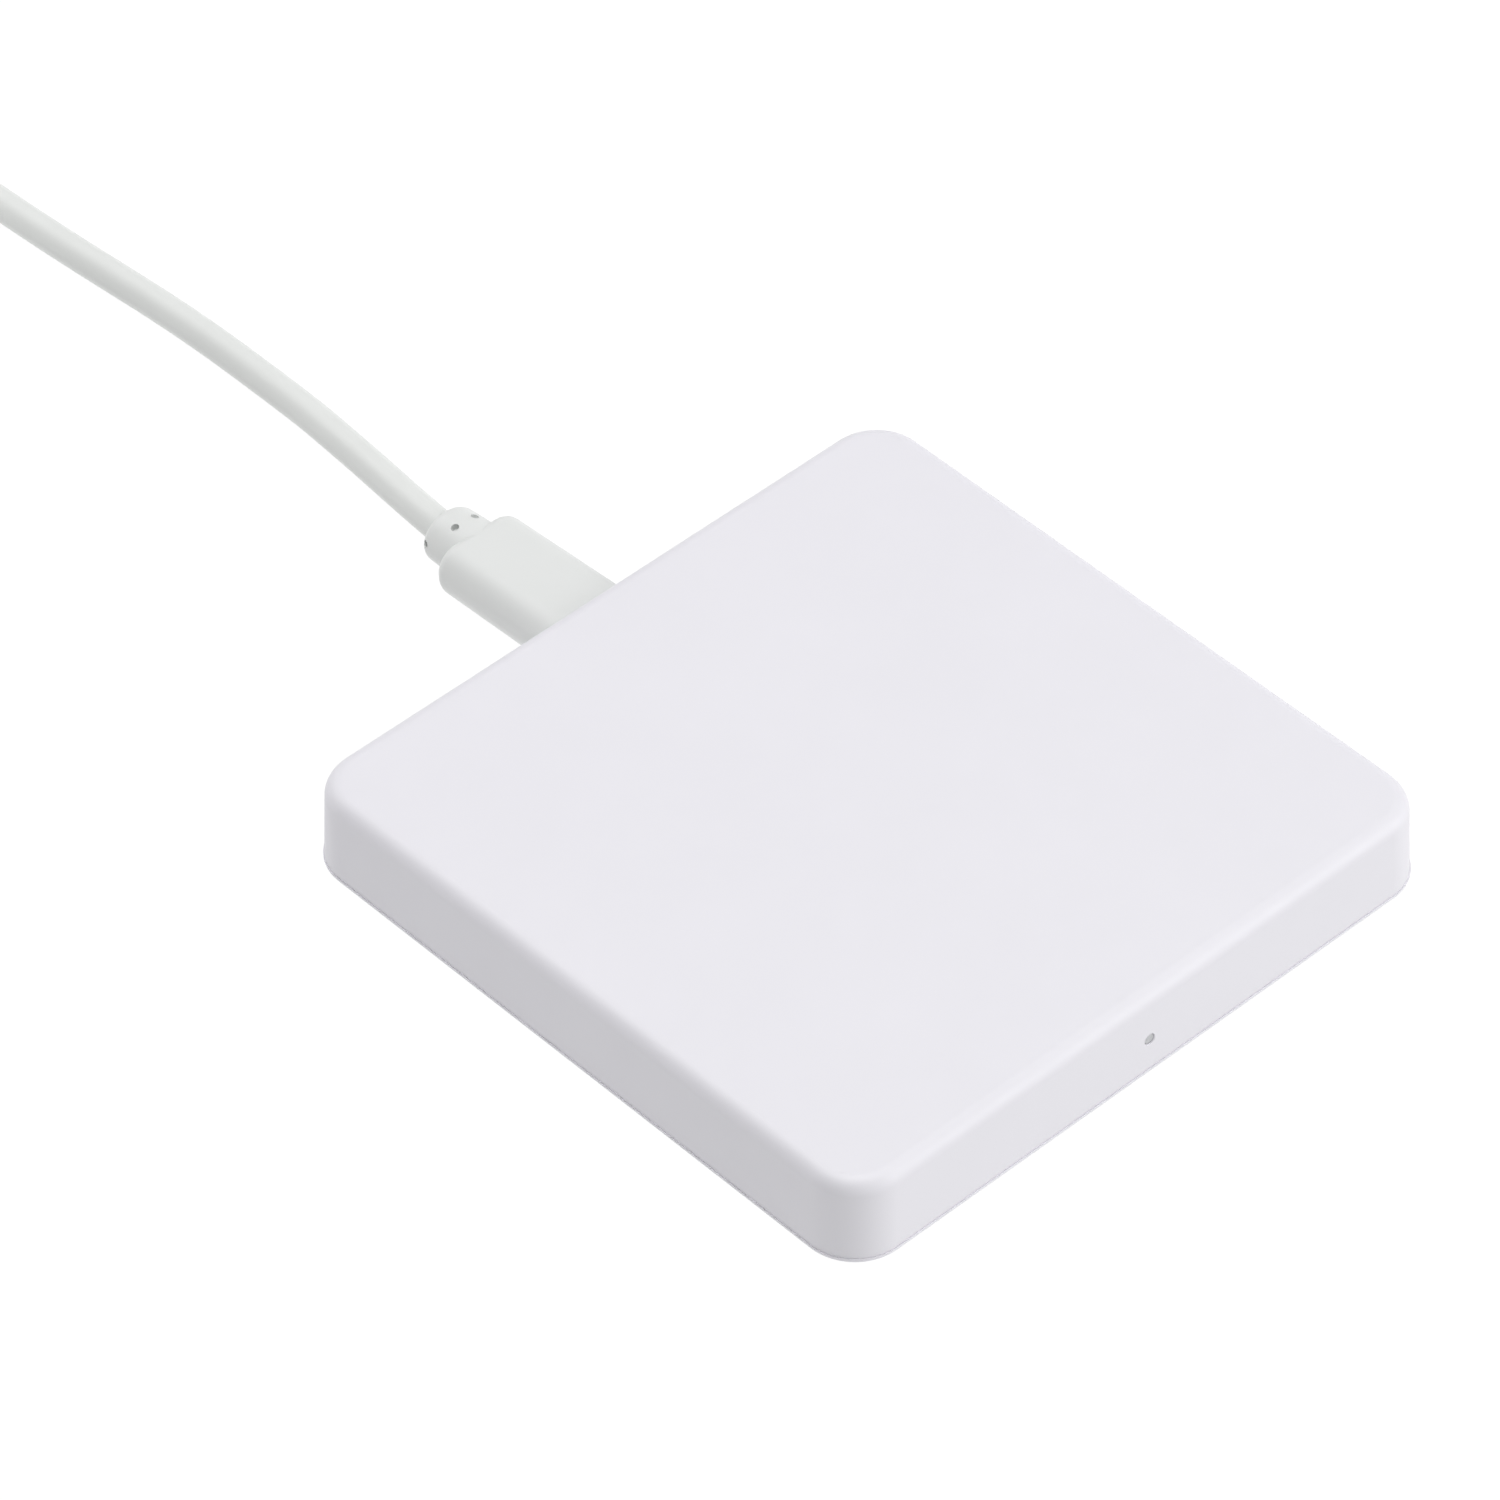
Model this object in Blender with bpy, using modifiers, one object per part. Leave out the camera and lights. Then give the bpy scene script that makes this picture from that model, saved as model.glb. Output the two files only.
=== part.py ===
"""A square wireless charging pad with its USB power cable plugged in.

Metres, +Z up. The origin is the centre of the pad's footprint on the table. The front, -Y, has the
status light. The back, +Y, has the USB socket.
"""

import math

import bmesh
import bpy
import numpy as np
from mathutils import Matrix, Vector

# Gaps
GAP = 0.0003  # between two pieces that touch
SOLDER = 0.0001  # between a part and the board, and between the layers of the coil stack

# Case
PAD_SIDE = 0.080  # across the rim of the base
RIM_STEP = 0.00012  # the rim of the base stands this far proud of the cover
WALL_LEAN = 0.0003  # each wall leans in this far over its height
CASE_HEIGHT = 0.0105  # without the feet
RIM_HEIGHT = 0.0014
CORNER_RADIUS = 0.0058
TOP_ROUND = 0.0015
RIM_ROUND = 0.0007
WALL = 0.0014
FLOOR = 0.0010
LIP_HEIGHT = 0.0018  # of the base's locating lip above its floor
LIP_WALL = 0.0009

# Feet and case screws
FOOT_DIAMETER = 0.0080
FOOT_PROUD = 0.0005
FOOT_RECESS = 0.0008
FASTENER_INSET = 0.0062  # from the rim to a screw's axis, along X and along Y
SCREW_DIAMETER = 0.0020
SCREW_LENGTH = 0.0050
SCREW_HEAD_DIAMETER = 0.0036
SCREW_HEAD_HEIGHT = 0.0009
BASE_BOSS_WALL = 0.0008  # round the screw's head
BASE_BOSS_ROOF = 0.0008  # over the screw's head
COVER_BOSS_DIAMETER = 0.0046

# Circuit board and what is on it
PORT_HEIGHT = 0.00475  # of the socket's axis above the table
BOARD_THICKNESS = 0.0008
BOARD_CORNER = 0.0020
BOARD_SIDE_GAP = 0.0019  # from each side of the board to the screw bosses
BOARD_END_GAP = 0.0007  # from each end of the board to the base's lip
POST_DIAMETER = 0.0024  # posts of the cover that hold the board down
POST_HALF_SPAN = 0.0200  # from the middle to a post, along X
POST_GAP = 0.0008  # along Y, from a post to the ferrite sheet
PART_BEVEL = 0.0001  # on the top edges of the parts on the board
CHIP_SIZE = (0.0060, 0.0060, 0.0009)
CHIP_PLACE = (-0.0120, 0.0090)
BRIDGE_SIZE = (0.0050, 0.0060, 0.0010)
BRIDGE_PLACES = ((0.0080, 0.0120), (0.0155, 0.0120))
RESONANT_SIZE = (0.0032, 0.0025, 0.0022)
RESONANT_PLACE = (-0.0030, -0.0080)
RESONANT_PITCH = 0.0046
RESONANT_COUNT = 4
INPUT_SIZE = (0.0020, 0.0032, 0.0016)
INPUT_SPREAD = 0.0160  # between the two, on either side of the socket
INPUT_INSET = 0.0036  # from the board's back edge
CHOKE_SIZE = (0.0042, 0.0042, 0.0022)
CHOKE_CORNER = 0.0006
CHOKE_PLACE = (0.0140, 0.0250)
SENSE_SIZE = (0.0032, 0.0016, 0.0006)
SENSE_PLACE = (-0.0020, 0.0180)
LED_SIZE = (0.0016, 0.0010, 0.0006)
LED_DEPTH = 0.0030  # from the inside of the front wall back to the LED's middle
LIGHT_HOLE_DIAMETER = 0.0013
LIGHT_HEIGHT = 0.0052  # of the hole's axis above the table
PIPE_BLOCK = (0.0024, 0.0026)  # width and depth of the light pipe's foot
PIPE_RECESS = 0.0005  # from the wall's outside in to the pipe's end

# USB socket
PLUG_FIT = 0.00015  # between the plug's shell and the inside of the socket's shell
SOCKET_DEPTH = 0.0076
SOCKET_WALL = 0.00025
SOCKET_RECESS = 0.0005  # from the wall's outside in to the socket's mouth
TONGUE_WIDTH = 0.0066
TONGUE_THICKNESS = 0.0007
TONGUE_LENGTH = 0.0044
TONGUE_BLOCK = 0.0014
OVAL = 0.495  # corner radius of a socket's or a plug's shell, as a share of its height
CARRIER_OVAL = 0.45  # the same for the plastic inside it

# Transmitter coil, a flat spiral under the cover
WIRE_DIAMETER = 0.0011
WIRE_SPACE = 0.0001  # between turns
COIL_TURNS = 10
COIL_INNER_DIAMETER = 0.0205
COIL_TURN_POINTS = 20
TAPE_THICKNESS = 0.0003
SHIELD_SIDE = 0.050  # the ferrite sheet
SHIELD_THICKNESS = 0.0010
SHIELD_CORNER = 0.0010
SHIELD_SLOT = 0.0036
SHIELD_SLOT_START = 0.0045  # from the coil's centre
LEAD_DIAMETER = 0.0010
SENSOR_DIAMETER = 0.0014
SENSOR_LENGTH = 0.0030
SENSOR_WIRE_DIAMETER = 0.0004
SENSOR_WIRE_SPREAD = 0.0014

# Cable plug in the socket
PLUG_SHELL_WIDTH = 0.00825
PLUG_SHELL_HEIGHT = 0.0024
PLUG_SHELL_REACH = 0.0062  # beyond the overmould
PLUG_SHELL_ROOT = 0.0030  # inside the overmould
PLUG_SHELL_WALL = 0.00022
PLUG_INSERT_LENGTH = 0.0012
PLUG_WIDTH = 0.0114
PLUG_HEIGHT = 0.0064
PLUG_LENGTH = 0.0181
PLUG_ROUND = 0.0029  # along the plug
PLUG_END_ROUND = 0.0012
PLUG_TAPER = 0.00012  # each side leans in this far by the plug's far end
PLUG_FACE_GAP = 0.0004  # to the wall
PLUG_SAG = math.radians(3.0)  # the cable's weight tips the overmould down this far

# Collar behind the plug
COLLAR_LENGTH = 0.0050
COLLAR_ROOT_DIAMETER = 0.0064
COLLAR_LIP = 0.00065  # its wall round the cable, at its end
COLLAR_FLARE = 1.6  # 1 is a plain cone, and more keeps the root wide for longer
COLLAR_END_ROUND = 0.0009
COLLAR_HOLE_DIAMETER = 0.0009
COLLAR_HOLE_DEPTH = 0.0007
COLLAR_FRONT_HOLES = (47, 106, 227, 286)  # degrees round the collar from +X
COLLAR_SIDE_HOLES = (168, 348)
COLLAR_FRONT_ROW = 0.0018  # from the collar's root
COLLAR_SIDE_ROW = 0.0040

# Cable. Its route starts at the collar: x, y from the collar's end, and the share of the way up from
# the table to the collar.
CORD_DIAMETER = 0.0036
CORD_ROUTE = (
    (0.00005, 0.0003, 0.99),
    (0.0004, 0.0036, 0.88),
    (0.0009, 0.0075, 0.71),
    (0.0014, 0.0111, 0.54),
    (0.0019, 0.0147, 0.37),
    (0.0023, 0.0184, 0.22),
    (0.0027, 0.0220, 0.10),
    (0.0029, 0.0255, 0.03),
    (0.0030, 0.0320, 0.0),
    (0.0030, 0.0390, 0.0),
    (0.0028, 0.0450, 0.0),
    (0.0024, 0.0510, 0.0),
    (0.0019, 0.0570, 0.0),
    (0.0014, 0.0640, 0.0),
    (0.0010, 0.0720, 0.0),
    (0.0007, 0.0810, 0.0),
)
CORD_POINT_SPACING = 0.0085

# Storage coil of the cable's spare length. The cable comes in along +Y on the ring's right-hand side.
RING_TURN_DIAMETERS = 12  # across the middle of its turns, in cable diameters
RING_COLUMNS = 4  # turns side by side in the lower layer, with one fewer nested on them
LAYER_RISE = math.sqrt(3) / 2  # between nested layers, in cable diameters
RING_CUT = 0.3  # of a cable diameter, off the outline's lower corners
TIE_WIDTH = 0.0035
TIE_THICKNESS = 0.0006
TIE_ANGLE = math.radians(70)

# The cable's other end, a USB-A plug that lies beside the coil, pointing along -Y
TAIL_ROUTE = (  # from the plug's collar: x, y, and the share of the way up from the table to the plug
    (0.0, 0.0003, 1.0),
    (0.0001, 0.0040, 0.90),
    (0.0005, 0.0080, 0.80),
    (0.0008, 0.0108, 0.82),
)
USB_A_AXIS_SIDE = 0.0026  # outside the turn that the tail leaves
USB_A_WIDTH = 0.0156
USB_A_HEIGHT = 0.0076
USB_A_LENGTH = 0.0240
USB_A_ROUND = 0.0020
USB_A_END_ROUND = 0.0012
USB_A_COLLAR_LENGTH = 0.0080
USB_A_COLLAR_ROOT = 0.0058
USB_A_COLLAR_LIP = 0.0005  # its wall round the cable, at its end
USB_A_SHELL_WIDTH = 0.0120
USB_A_SHELL_HEIGHT = 0.0045
USB_A_SHELL_REACH = 0.0119
USB_A_SHELL_ROOT = 0.0040
USB_A_SHELL_WALL = 0.0003
USB_A_BLADE_THICKNESS = 0.0018

# Worked out from the sizes above
CASE_TOP = FOOT_PROUD + CASE_HEIGHT
RIM_TOP = FOOT_PROUD + RIM_HEIGHT - GAP / 2
COVER_BOTTOM = RIM_TOP + GAP
COVER_HALF = PAD_SIDE / 2 - RIM_STEP
INNER_HALF = COVER_HALF - WALL
ROOF = CASE_TOP - WALL
FLOOR_TOP = FOOT_PROUD + FLOOR
LIP_HALF = INNER_HALF - GAP
FASTENER = PAD_SIDE / 2 - FASTENER_INSET
HEAD_BOTTOM = FOOT_PROUD + FOOT_RECESS + SOLDER
HEAD_TOP = HEAD_BOTTOM + SCREW_HEAD_HEIGHT
BASE_BOSS_TOP = HEAD_TOP + GAP + BASE_BOSS_ROOF
BASE_BOSS_DIAMETER = SCREW_HEAD_DIAMETER + 2 * (GAP + BASE_BOSS_WALL)
SOCKET_WIDTH = PLUG_SHELL_WIDTH + 2 * (PLUG_FIT + SOCKET_WALL)
SOCKET_HEIGHT = PLUG_SHELL_HEIGHT + 2 * (PLUG_FIT + SOCKET_WALL)
BOARD_TOP = PORT_HEIGHT - SOCKET_HEIGHT / 2 - SOLDER
BOARD_BOTTOM = BOARD_TOP - BOARD_THICKNESS
BOARD_LENGTH = 2 * (LIP_HALF - LIP_WALL - BOARD_END_GAP)
BOARD_WIDTH = 2 * (FASTENER - BASE_BOSS_DIAMETER / 2 - BOARD_SIDE_GAP)
INPUT_PLACE = BOARD_LENGTH / 2 - INPUT_INSET
COVER_LEAN_AT_PORT = WALL_LEAN * (PORT_HEIGHT - COVER_BOTTOM) / (CASE_TOP - COVER_BOTTOM)
WALL_FACE = COVER_HALF - COVER_LEAN_AT_PORT
SOCKET_MOUTH = WALL_FACE - SOCKET_RECESS
LED_PLACE = (0.0, -INNER_HALF + LED_DEPTH)
TAPE_BOTTOM = ROOF - SOLDER - TAPE_THICKNESS
COIL_TOP = TAPE_BOTTOM - SOLDER
COIL_LEVEL = COIL_TOP - WIRE_DIAMETER / 2
WIRE_PITCH = WIRE_DIAMETER + WIRE_SPACE
COIL_INNER_RADIUS = COIL_INNER_DIAMETER / 2 + WIRE_DIAMETER / 2
COIL_OUTER_RADIUS = COIL_INNER_RADIUS + COIL_TURNS * WIRE_PITCH
SHIELD_TOP = COIL_TOP - WIRE_DIAMETER - SOLDER
SHIELD_BOTTOM = SHIELD_TOP - SHIELD_THICKNESS
POST_PLACE = (SHIELD_SIDE + POST_DIAMETER) / 2 + POST_GAP
PLUG_FACE = WALL_FACE + PLUG_FACE_GAP
PLUG_END = PLUG_FACE_GAP + PLUG_LENGTH
COLLAR_START = PLUG_END + GAP
COLLAR_END = COLLAR_START + COLLAR_LENGTH
SAG_AXIS = Vector((0, math.cos(PLUG_SAG), -math.sin(PLUG_SAG)))
CORD_EXIT = Vector((0, WALL_FACE, PORT_HEIGHT)) + SAG_AXIS * COLLAR_END
CORD_RADIUS = CORD_DIAMETER / 2
RING_TURN_RADIUS = RING_TURN_DIAMETERS * CORD_DIAMETER / 2
RING_WIDTH = RING_COLUMNS * CORD_DIAMETER
RING_HEIGHT = (1 + LAYER_RISE) * CORD_DIAMETER
RING_OUTER = RING_TURN_RADIUS + RING_WIDTH / 2
RING_OUTER_TURN = RING_OUTER - CORD_RADIUS
TAIL_TURN = RING_OUTER_TURN - CORD_RADIUS


def before_ring(side):
    """How far back from the ring's centre a cable ends that lies this far to its side."""
    return math.sqrt((RING_OUTER + GAP) ** 2 - (side - CORD_RADIUS) ** 2)


CORD_STOP = before_ring(RING_OUTER_TURN)
RING_CENTRE = Vector(
    (CORD_ROUTE[-1][0] - RING_OUTER_TURN, CORD_EXIT.y + CORD_ROUTE[-1][1] + CORD_STOP, 0)
)
USB_A_AXIS = USB_A_HEIGHT / 2
USB_A_X = RING_CENTRE.x - TAIL_TURN - USB_A_AXIS_SIDE
TAIL_STOP = before_ring(TAIL_TURN + USB_A_AXIS_SIDE - TAIL_ROUTE[-1][0])
USB_A_COLLAR_Y = RING_CENTRE.y - TAIL_STOP - TAIL_ROUTE[-1][1]
USB_A_BODY_Y = USB_A_COLLAR_Y - USB_A_COLLAR_LENGTH - GAP
USB_A_FACE_Y = USB_A_BODY_Y - USB_A_LENGTH

ALONG_Y = (-math.pi / 2, 0, 0)  # turns a piece made along +Z to lie along +Y
ALONG_MINUS_Y = (math.pi / 2, 0, 0)
CORNERS = {
    "front_left": (-1, -1),
    "front_right": (1, -1),
    "back_left": (-1, 1),
    "back_right": (1, 1),
}


# Scene and materials


def clear_scene():
    for obj in list(bpy.data.objects):
        bpy.data.objects.remove(obj, do_unlink=True)


def new_collection(name):
    collection = bpy.data.collections.new(name)
    bpy.context.scene.collection.children.link(collection)
    return collection


def make_material(name, colour, roughness, metallic=0.0):
    material = bpy.data.materials.new(name)
    material.use_nodes = True
    shader = material.node_tree.nodes["Principled BSDF"]
    shader.inputs["Base Color"].default_value = (*colour, 1)
    shader.inputs["Roughness"].default_value = roughness
    shader.inputs["Metallic"].default_value = metallic
    return material


def make_materials():
    return {
        "case": make_material("case_plastic", (0.82, 0.82, 0.84), 0.45),
        "cable": make_material("cable_jacket", (0.80, 0.82, 0.80), 0.5),
        "foot": make_material("foot_rubber", (0.55, 0.56, 0.57), 0.8),
        "steel": make_material("steel", (0.62, 0.61, 0.59), 0.3, 1.0),
        "board": make_material("board_laminate", (0.03, 0.20, 0.09), 0.4),
        "chip": make_material("chip_resin", (0.02, 0.02, 0.022), 0.5),
        "ceramic": make_material("capacitor_ceramic", (0.42, 0.30, 0.20), 0.5),
        "ferrite": make_material("ferrite", (0.06, 0.06, 0.065), 0.7),
        "copper": make_material("copper_wire", (0.62, 0.26, 0.12), 0.35, 1.0),
        "tape": make_material("adhesive_tape", (0.85, 0.83, 0.75), 0.7),
        "light": make_material("clear_plastic", (0.90, 0.93, 0.95), 0.1),
        "insulator": make_material("contact_carrier", (0.03, 0.03, 0.03), 0.5),
        "tie": make_material("tie_band", (0.75, 0.75, 0.75), 0.6),
    }


# Objects


def add_object(name, data, material, place=(0, 0, 0), turn=(0, 0, 0), parent=None):
    obj = bpy.data.objects.new(name, data)
    data.materials.clear()
    data.materials.append(material)
    obj.location = place
    obj.rotation_euler = turn
    obj.parent = parent
    PARTS.objects.link(obj)
    return obj


def add_tool(name, data, place=(0, 0, 0), turn=(0, 0, 0), parent=None):
    """A hidden helper, which a Boolean cuts with or adds."""
    obj = bpy.data.objects.new(name, data)
    obj.location = place
    obj.rotation_euler = turn
    obj.parent = parent
    obj.hide_render = True
    obj.display_type = "WIRE"
    TOOLS.objects.link(obj)
    return obj


def boolean(obj, tool, operation="DIFFERENCE"):
    modifier = obj.modifiers.new(tool.name, "BOOLEAN")
    modifier.operation = operation
    modifier.object = tool


def mesh_from(bm, name):
    mesh = bpy.data.meshes.new(name)
    bm.normal_update()
    bm.to_mesh(mesh)
    bm.free()
    mesh.shade_smooth()
    mesh.set_sharp_from_angle(angle=math.radians(35))
    return mesh


def round_edges(bm, edges, radius, segments):
    if radius:
        bmesh.ops.bevel(
            bm,
            geom=edges,
            offset=radius,
            segments=segments,
            profile=0.5,
            affect="EDGES",
        )


def block_mesh(
    name,
    width,
    depth,
    height,
    corner=0.0,
    top=0.0,
    bottom=0.0,
    lean=0.0,
    corner_steps=6,
    round_steps=3,
    open_bottom=False,
):
    """A block that stands on its origin, with rounded uprights and rims, and walls that lean in."""
    bm = bmesh.new()
    bmesh.ops.create_cube(bm, size=1)
    for vert in bm.verts:
        upper = vert.co.z > 0
        vert.co.x = math.copysign(width / 2 - lean * upper, vert.co.x)
        vert.co.y = math.copysign(depth / 2 - lean * upper, vert.co.y)
        vert.co.z = height * upper

    def level(edge, z):
        return all(abs(vert.co.z - z) < height * 1e-3 for vert in edge.verts)

    uprights = [e for e in bm.edges if not level(e, 0) and not level(e, height)]
    round_edges(bm, uprights, corner, corner_steps)
    round_edges(bm, [e for e in bm.edges if level(e, height)], top, round_steps)
    round_edges(bm, [e for e in bm.edges if level(e, 0)], bottom, round_steps)
    if open_bottom:
        floor = [f for f in bm.faces if all(abs(v.co.z) < height * 1e-3 for v in f.verts)]
        bmesh.ops.delete(bm, geom=floor, context="FACES")
    return mesh_from(bm, name)


def cylinders_mesh(name, centres, diameter, bottom, top, segments=16):
    bm = bmesh.new()
    for x, y in centres:
        place = Matrix.Translation((x, y, (bottom + top) / 2))
        bmesh.ops.create_cone(
            bm,
            cap_ends=True,
            segments=segments,
            radius1=diameter / 2,
            radius2=diameter / 2,
            depth=top - bottom,
            matrix=place,
        )
    return mesh_from(bm, name)


def turned(name, profile, material, segments=20, closed=False, **place):
    """A profile of (radius, height) points, turned round Z. It runs down its outer side."""
    mesh = bpy.data.meshes.new(name)
    points = [(radius, 0, height) for radius, height in profile]
    edges = [(i, i + 1) for i in range(len(points) - 1)]
    if closed:
        edges.append((len(points) - 1, 0))
    mesh.from_pydata(points, edges, [])
    obj = add_object(name, mesh, material, **place)
    screw = obj.modifiers.new("turn", "SCREW")
    screw.steps = screw.render_steps = segments
    screw.use_merge_vertices = True
    screw.merge_threshold = 1e-6
    screw.use_smooth_shade = True
    return obj


def tube(name, points, diameter, material, resolution=2):
    curve = bpy.data.curves.new(name, "CURVE")
    curve.dimensions = "3D"
    curve.bevel_depth = diameter / 2
    curve.bevel_resolution = resolution
    curve.use_fill_caps = True
    spline = curve.splines.new("POLY")
    spline.points.add(len(points) - 1)
    for point, place in zip(spline.points, points):
        point.co = (*place, 1)
    return add_object(name, curve, material)


def smooth_path(route, spacing):
    """Points this far apart along a smooth curve through the route (a Catmull-Rom spline)."""
    knots = np.array(route, float)
    padded = np.vstack([2 * knots[0] - knots[1], knots, 2 * knots[-1] - knots[-2]])
    fine = [knots[0]]
    for a, b, c, d in zip(padded, padded[1:], padded[2:], padded[3:]):
        for t in np.linspace(0, 1, 13)[1:]:
            fine.append(
                0.5 * (2 * b + (c - a) * t + (2 * a - 5 * b + 4 * c - d) * t**2
                       + (3 * b - a - 3 * c + d) * t**3)
            )
    fine = np.array(fine)
    along = np.concatenate([[0], np.cumsum(np.linalg.norm(np.diff(fine, axis=0), axis=1))])
    wanted = np.linspace(0, along[-1], max(2, round(along[-1] / spacing) + 1))
    return np.column_stack([np.interp(wanted, along, fine[:, i]) for i in range(3)])


# Case


def make_cover():
    shell = block_mesh(
        "top_cover",
        2 * COVER_HALF,
        2 * COVER_HALF,
        CASE_TOP - COVER_BOTTOM,
        corner=CORNER_RADIUS,
        top=TOP_ROUND,
        lean=WALL_LEAN,
        corner_steps=8,
        round_steps=4,
        open_bottom=True,
    )
    cover = add_object("top_cover", shell, MATERIALS["case"], (0, 0, COVER_BOTTOM))
    thickness = cover.modifiers.new("wall", "SOLIDIFY")
    thickness.thickness = WALL
    thickness.offset = -1
    thickness.use_even_offset = True
    into_roof = ROOF + WALL / 2
    corners = [(x * FASTENER, y * FASTENER) for x, y in CORNERS.values()]
    posts = [(x * POST_HALF_SPAN, y * POST_PLACE) for x, y in CORNERS.values()]
    pilot = SCREW_DIAMETER + 2 * SOLDER
    screw_tip = HEAD_TOP + SCREW_LENGTH
    boss_bottom = BASE_BOSS_TOP + GAP
    bosses = cylinders_mesh("bosses", corners, COVER_BOSS_DIAMETER, boss_bottom, into_roof)
    boolean(cover, add_tool("bosses", bosses), "UNION")
    props = cylinders_mesh("posts", posts, POST_DIAMETER, BOARD_TOP + GAP, into_roof, 12)
    boolean(cover, add_tool("posts", props), "UNION")
    pilots = cylinders_mesh("pilots", corners, pilot, boss_bottom - GAP, screw_tip + GAP)
    boolean(cover, add_tool("pilots", pilots))
    port = block_mesh(
        "port_cut",
        SOCKET_WIDTH + 2 * GAP,
        SOCKET_HEIGHT + 2 * GAP,
        2 * WALL,
        corner=SOCKET_HEIGHT / 2,
    )
    port_place = (0, WALL_FACE - 1.5 * WALL, PORT_HEIGHT)
    boolean(cover, add_tool("port_cut", port, port_place, ALONG_Y))
    light = cylinders_mesh("light_cut", [(0, 0)], LIGHT_HOLE_DIAMETER, -WALL, WALL)
    light_place = (0, -COVER_HALF + WALL / 2, LIGHT_HEIGHT)
    boolean(cover, add_tool("light_cut", light, light_place, ALONG_Y))


def make_base():
    plate = block_mesh(
        "base_cover",
        PAD_SIDE,
        PAD_SIDE,
        RIM_TOP - FOOT_PROUD,
        corner=CORNER_RADIUS + RIM_STEP,
        bottom=RIM_ROUND,
        corner_steps=8,
        round_steps=2,
    )
    base = add_object("base_cover", plate, MATERIALS["case"], (0, 0, FOOT_PROUD))
    corners = [(x * FASTENER, y * FASTENER) for x, y in CORNERS.values()]
    inner_corner = CORNER_RADIUS - WALL - GAP
    lip_top = FLOOR_TOP + LIP_HEIGHT
    outer = 2 * LIP_HALF
    lip = block_mesh("lip", outer, outer, lip_top - FLOOR_TOP + FLOOR / 2, inner_corner)
    boolean(base, add_tool("lip", lip, (0, 0, FLOOR_TOP - FLOOR / 2)), "UNION")
    inner = outer - 2 * LIP_WALL
    well = block_mesh("well", inner, inner, LIP_HEIGHT + GAP, inner_corner - LIP_WALL)
    boolean(base, add_tool("well", well, (0, 0, FLOOR_TOP)))
    boss = cylinders_mesh(
        "base_bosses", corners, BASE_BOSS_DIAMETER, FLOOR_TOP - FLOOR / 2, BASE_BOSS_TOP
    )
    boolean(base, add_tool("base_bosses", boss), "UNION")
    seats = cylinders_mesh(
        "foot_seats", corners, FOOT_DIAMETER + 2 * GAP, 0, FOOT_PROUD + FOOT_RECESS, 20
    )
    boolean(base, add_tool("foot_seats", seats))
    heads = cylinders_mesh(
        "head_seats", corners, SCREW_HEAD_DIAMETER + 2 * GAP, FOOT_PROUD, HEAD_TOP + SOLDER
    )
    boolean(base, add_tool("head_seats", heads))
    shanks = cylinders_mesh(
        "shank_holes", corners, SCREW_DIAMETER + 2 * GAP, FOOT_PROUD, BASE_BOSS_TOP + GAP
    )
    boolean(base, add_tool("shank_holes", shanks))
    notch = block_mesh("port_notch", SOCKET_WIDTH + 4 * GAP, 4 * LIP_WALL, LIP_HEIGHT + GAP)
    notch_bottom = PORT_HEIGHT - SOCKET_HEIGHT / 2 - GAP
    boolean(base, add_tool("port_notch", notch, (0, LIP_HALF, notch_bottom)))


def make_feet_and_screws():
    foot_top = FOOT_PROUD + FOOT_RECESS - SOLDER
    edge = FOOT_PROUD / 2
    foot = [
        (0, foot_top),
        (FOOT_DIAMETER / 2, foot_top),
        (FOOT_DIAMETER / 2, edge),
        (FOOT_DIAMETER / 2 - edge, 0),
        (0, 0),
    ]
    shank = SCREW_DIAMETER / 2
    tip = HEAD_TOP + SCREW_LENGTH
    screw = [
        (0, tip),
        (shank * 0.5, tip),
        (shank, tip - SCREW_DIAMETER / 2),
        (shank, HEAD_TOP),
        (SCREW_HEAD_DIAMETER / 2, HEAD_TOP),
        (SCREW_HEAD_DIAMETER / 2, HEAD_BOTTOM),
        (0, HEAD_BOTTOM),
    ]
    for corner, (x, y) in CORNERS.items():
        place = (x * FASTENER, y * FASTENER, 0)
        turned(f"foot_{corner}", foot, MATERIALS["foot"], 24, place=place)
        turned(f"case_screw_{corner}", screw, MATERIALS["steel"], 16, place=place)


# Circuit board and its parts


def on_board(name, size, place, material, corner=0.0):
    mesh = block_mesh(name, *size, corner=corner, top=PART_BEVEL, corner_steps=2, round_steps=1)
    add_object(name, mesh, MATERIALS[material], (*place, BOARD_TOP + SOLDER))


def make_board():
    board = block_mesh(
        "main_board", BOARD_WIDTH, BOARD_LENGTH, BOARD_THICKNESS, BOARD_CORNER, corner_steps=3
    )
    add_object("main_board", board, MATERIALS["board"], (0, 0, BOARD_BOTTOM))
    on_board("charger_chip", CHIP_SIZE, CHIP_PLACE, "chip")
    for number, place in enumerate(BRIDGE_PLACES, 1):
        on_board(f"power_stage_{number}", BRIDGE_SIZE, place, "chip")
    for number in range(RESONANT_COUNT):
        place = (RESONANT_PLACE[0] + number * RESONANT_PITCH, RESONANT_PLACE[1])
        on_board(f"resonant_capacitor_{number + 1}", RESONANT_SIZE, place, "ceramic")
    for number, side in enumerate((-1, 1), 1):
        place = (side * INPUT_SPREAD / 2, INPUT_PLACE)
        on_board(f"input_capacitor_{number}", INPUT_SIZE, place, "ceramic")
    on_board("input_choke", CHOKE_SIZE, CHOKE_PLACE, "ferrite", corner=CHOKE_CORNER)
    on_board("sense_resistor", SENSE_SIZE, SENSE_PLACE, "chip")
    on_board("status_led", LED_SIZE, LED_PLACE, "light")


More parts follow.
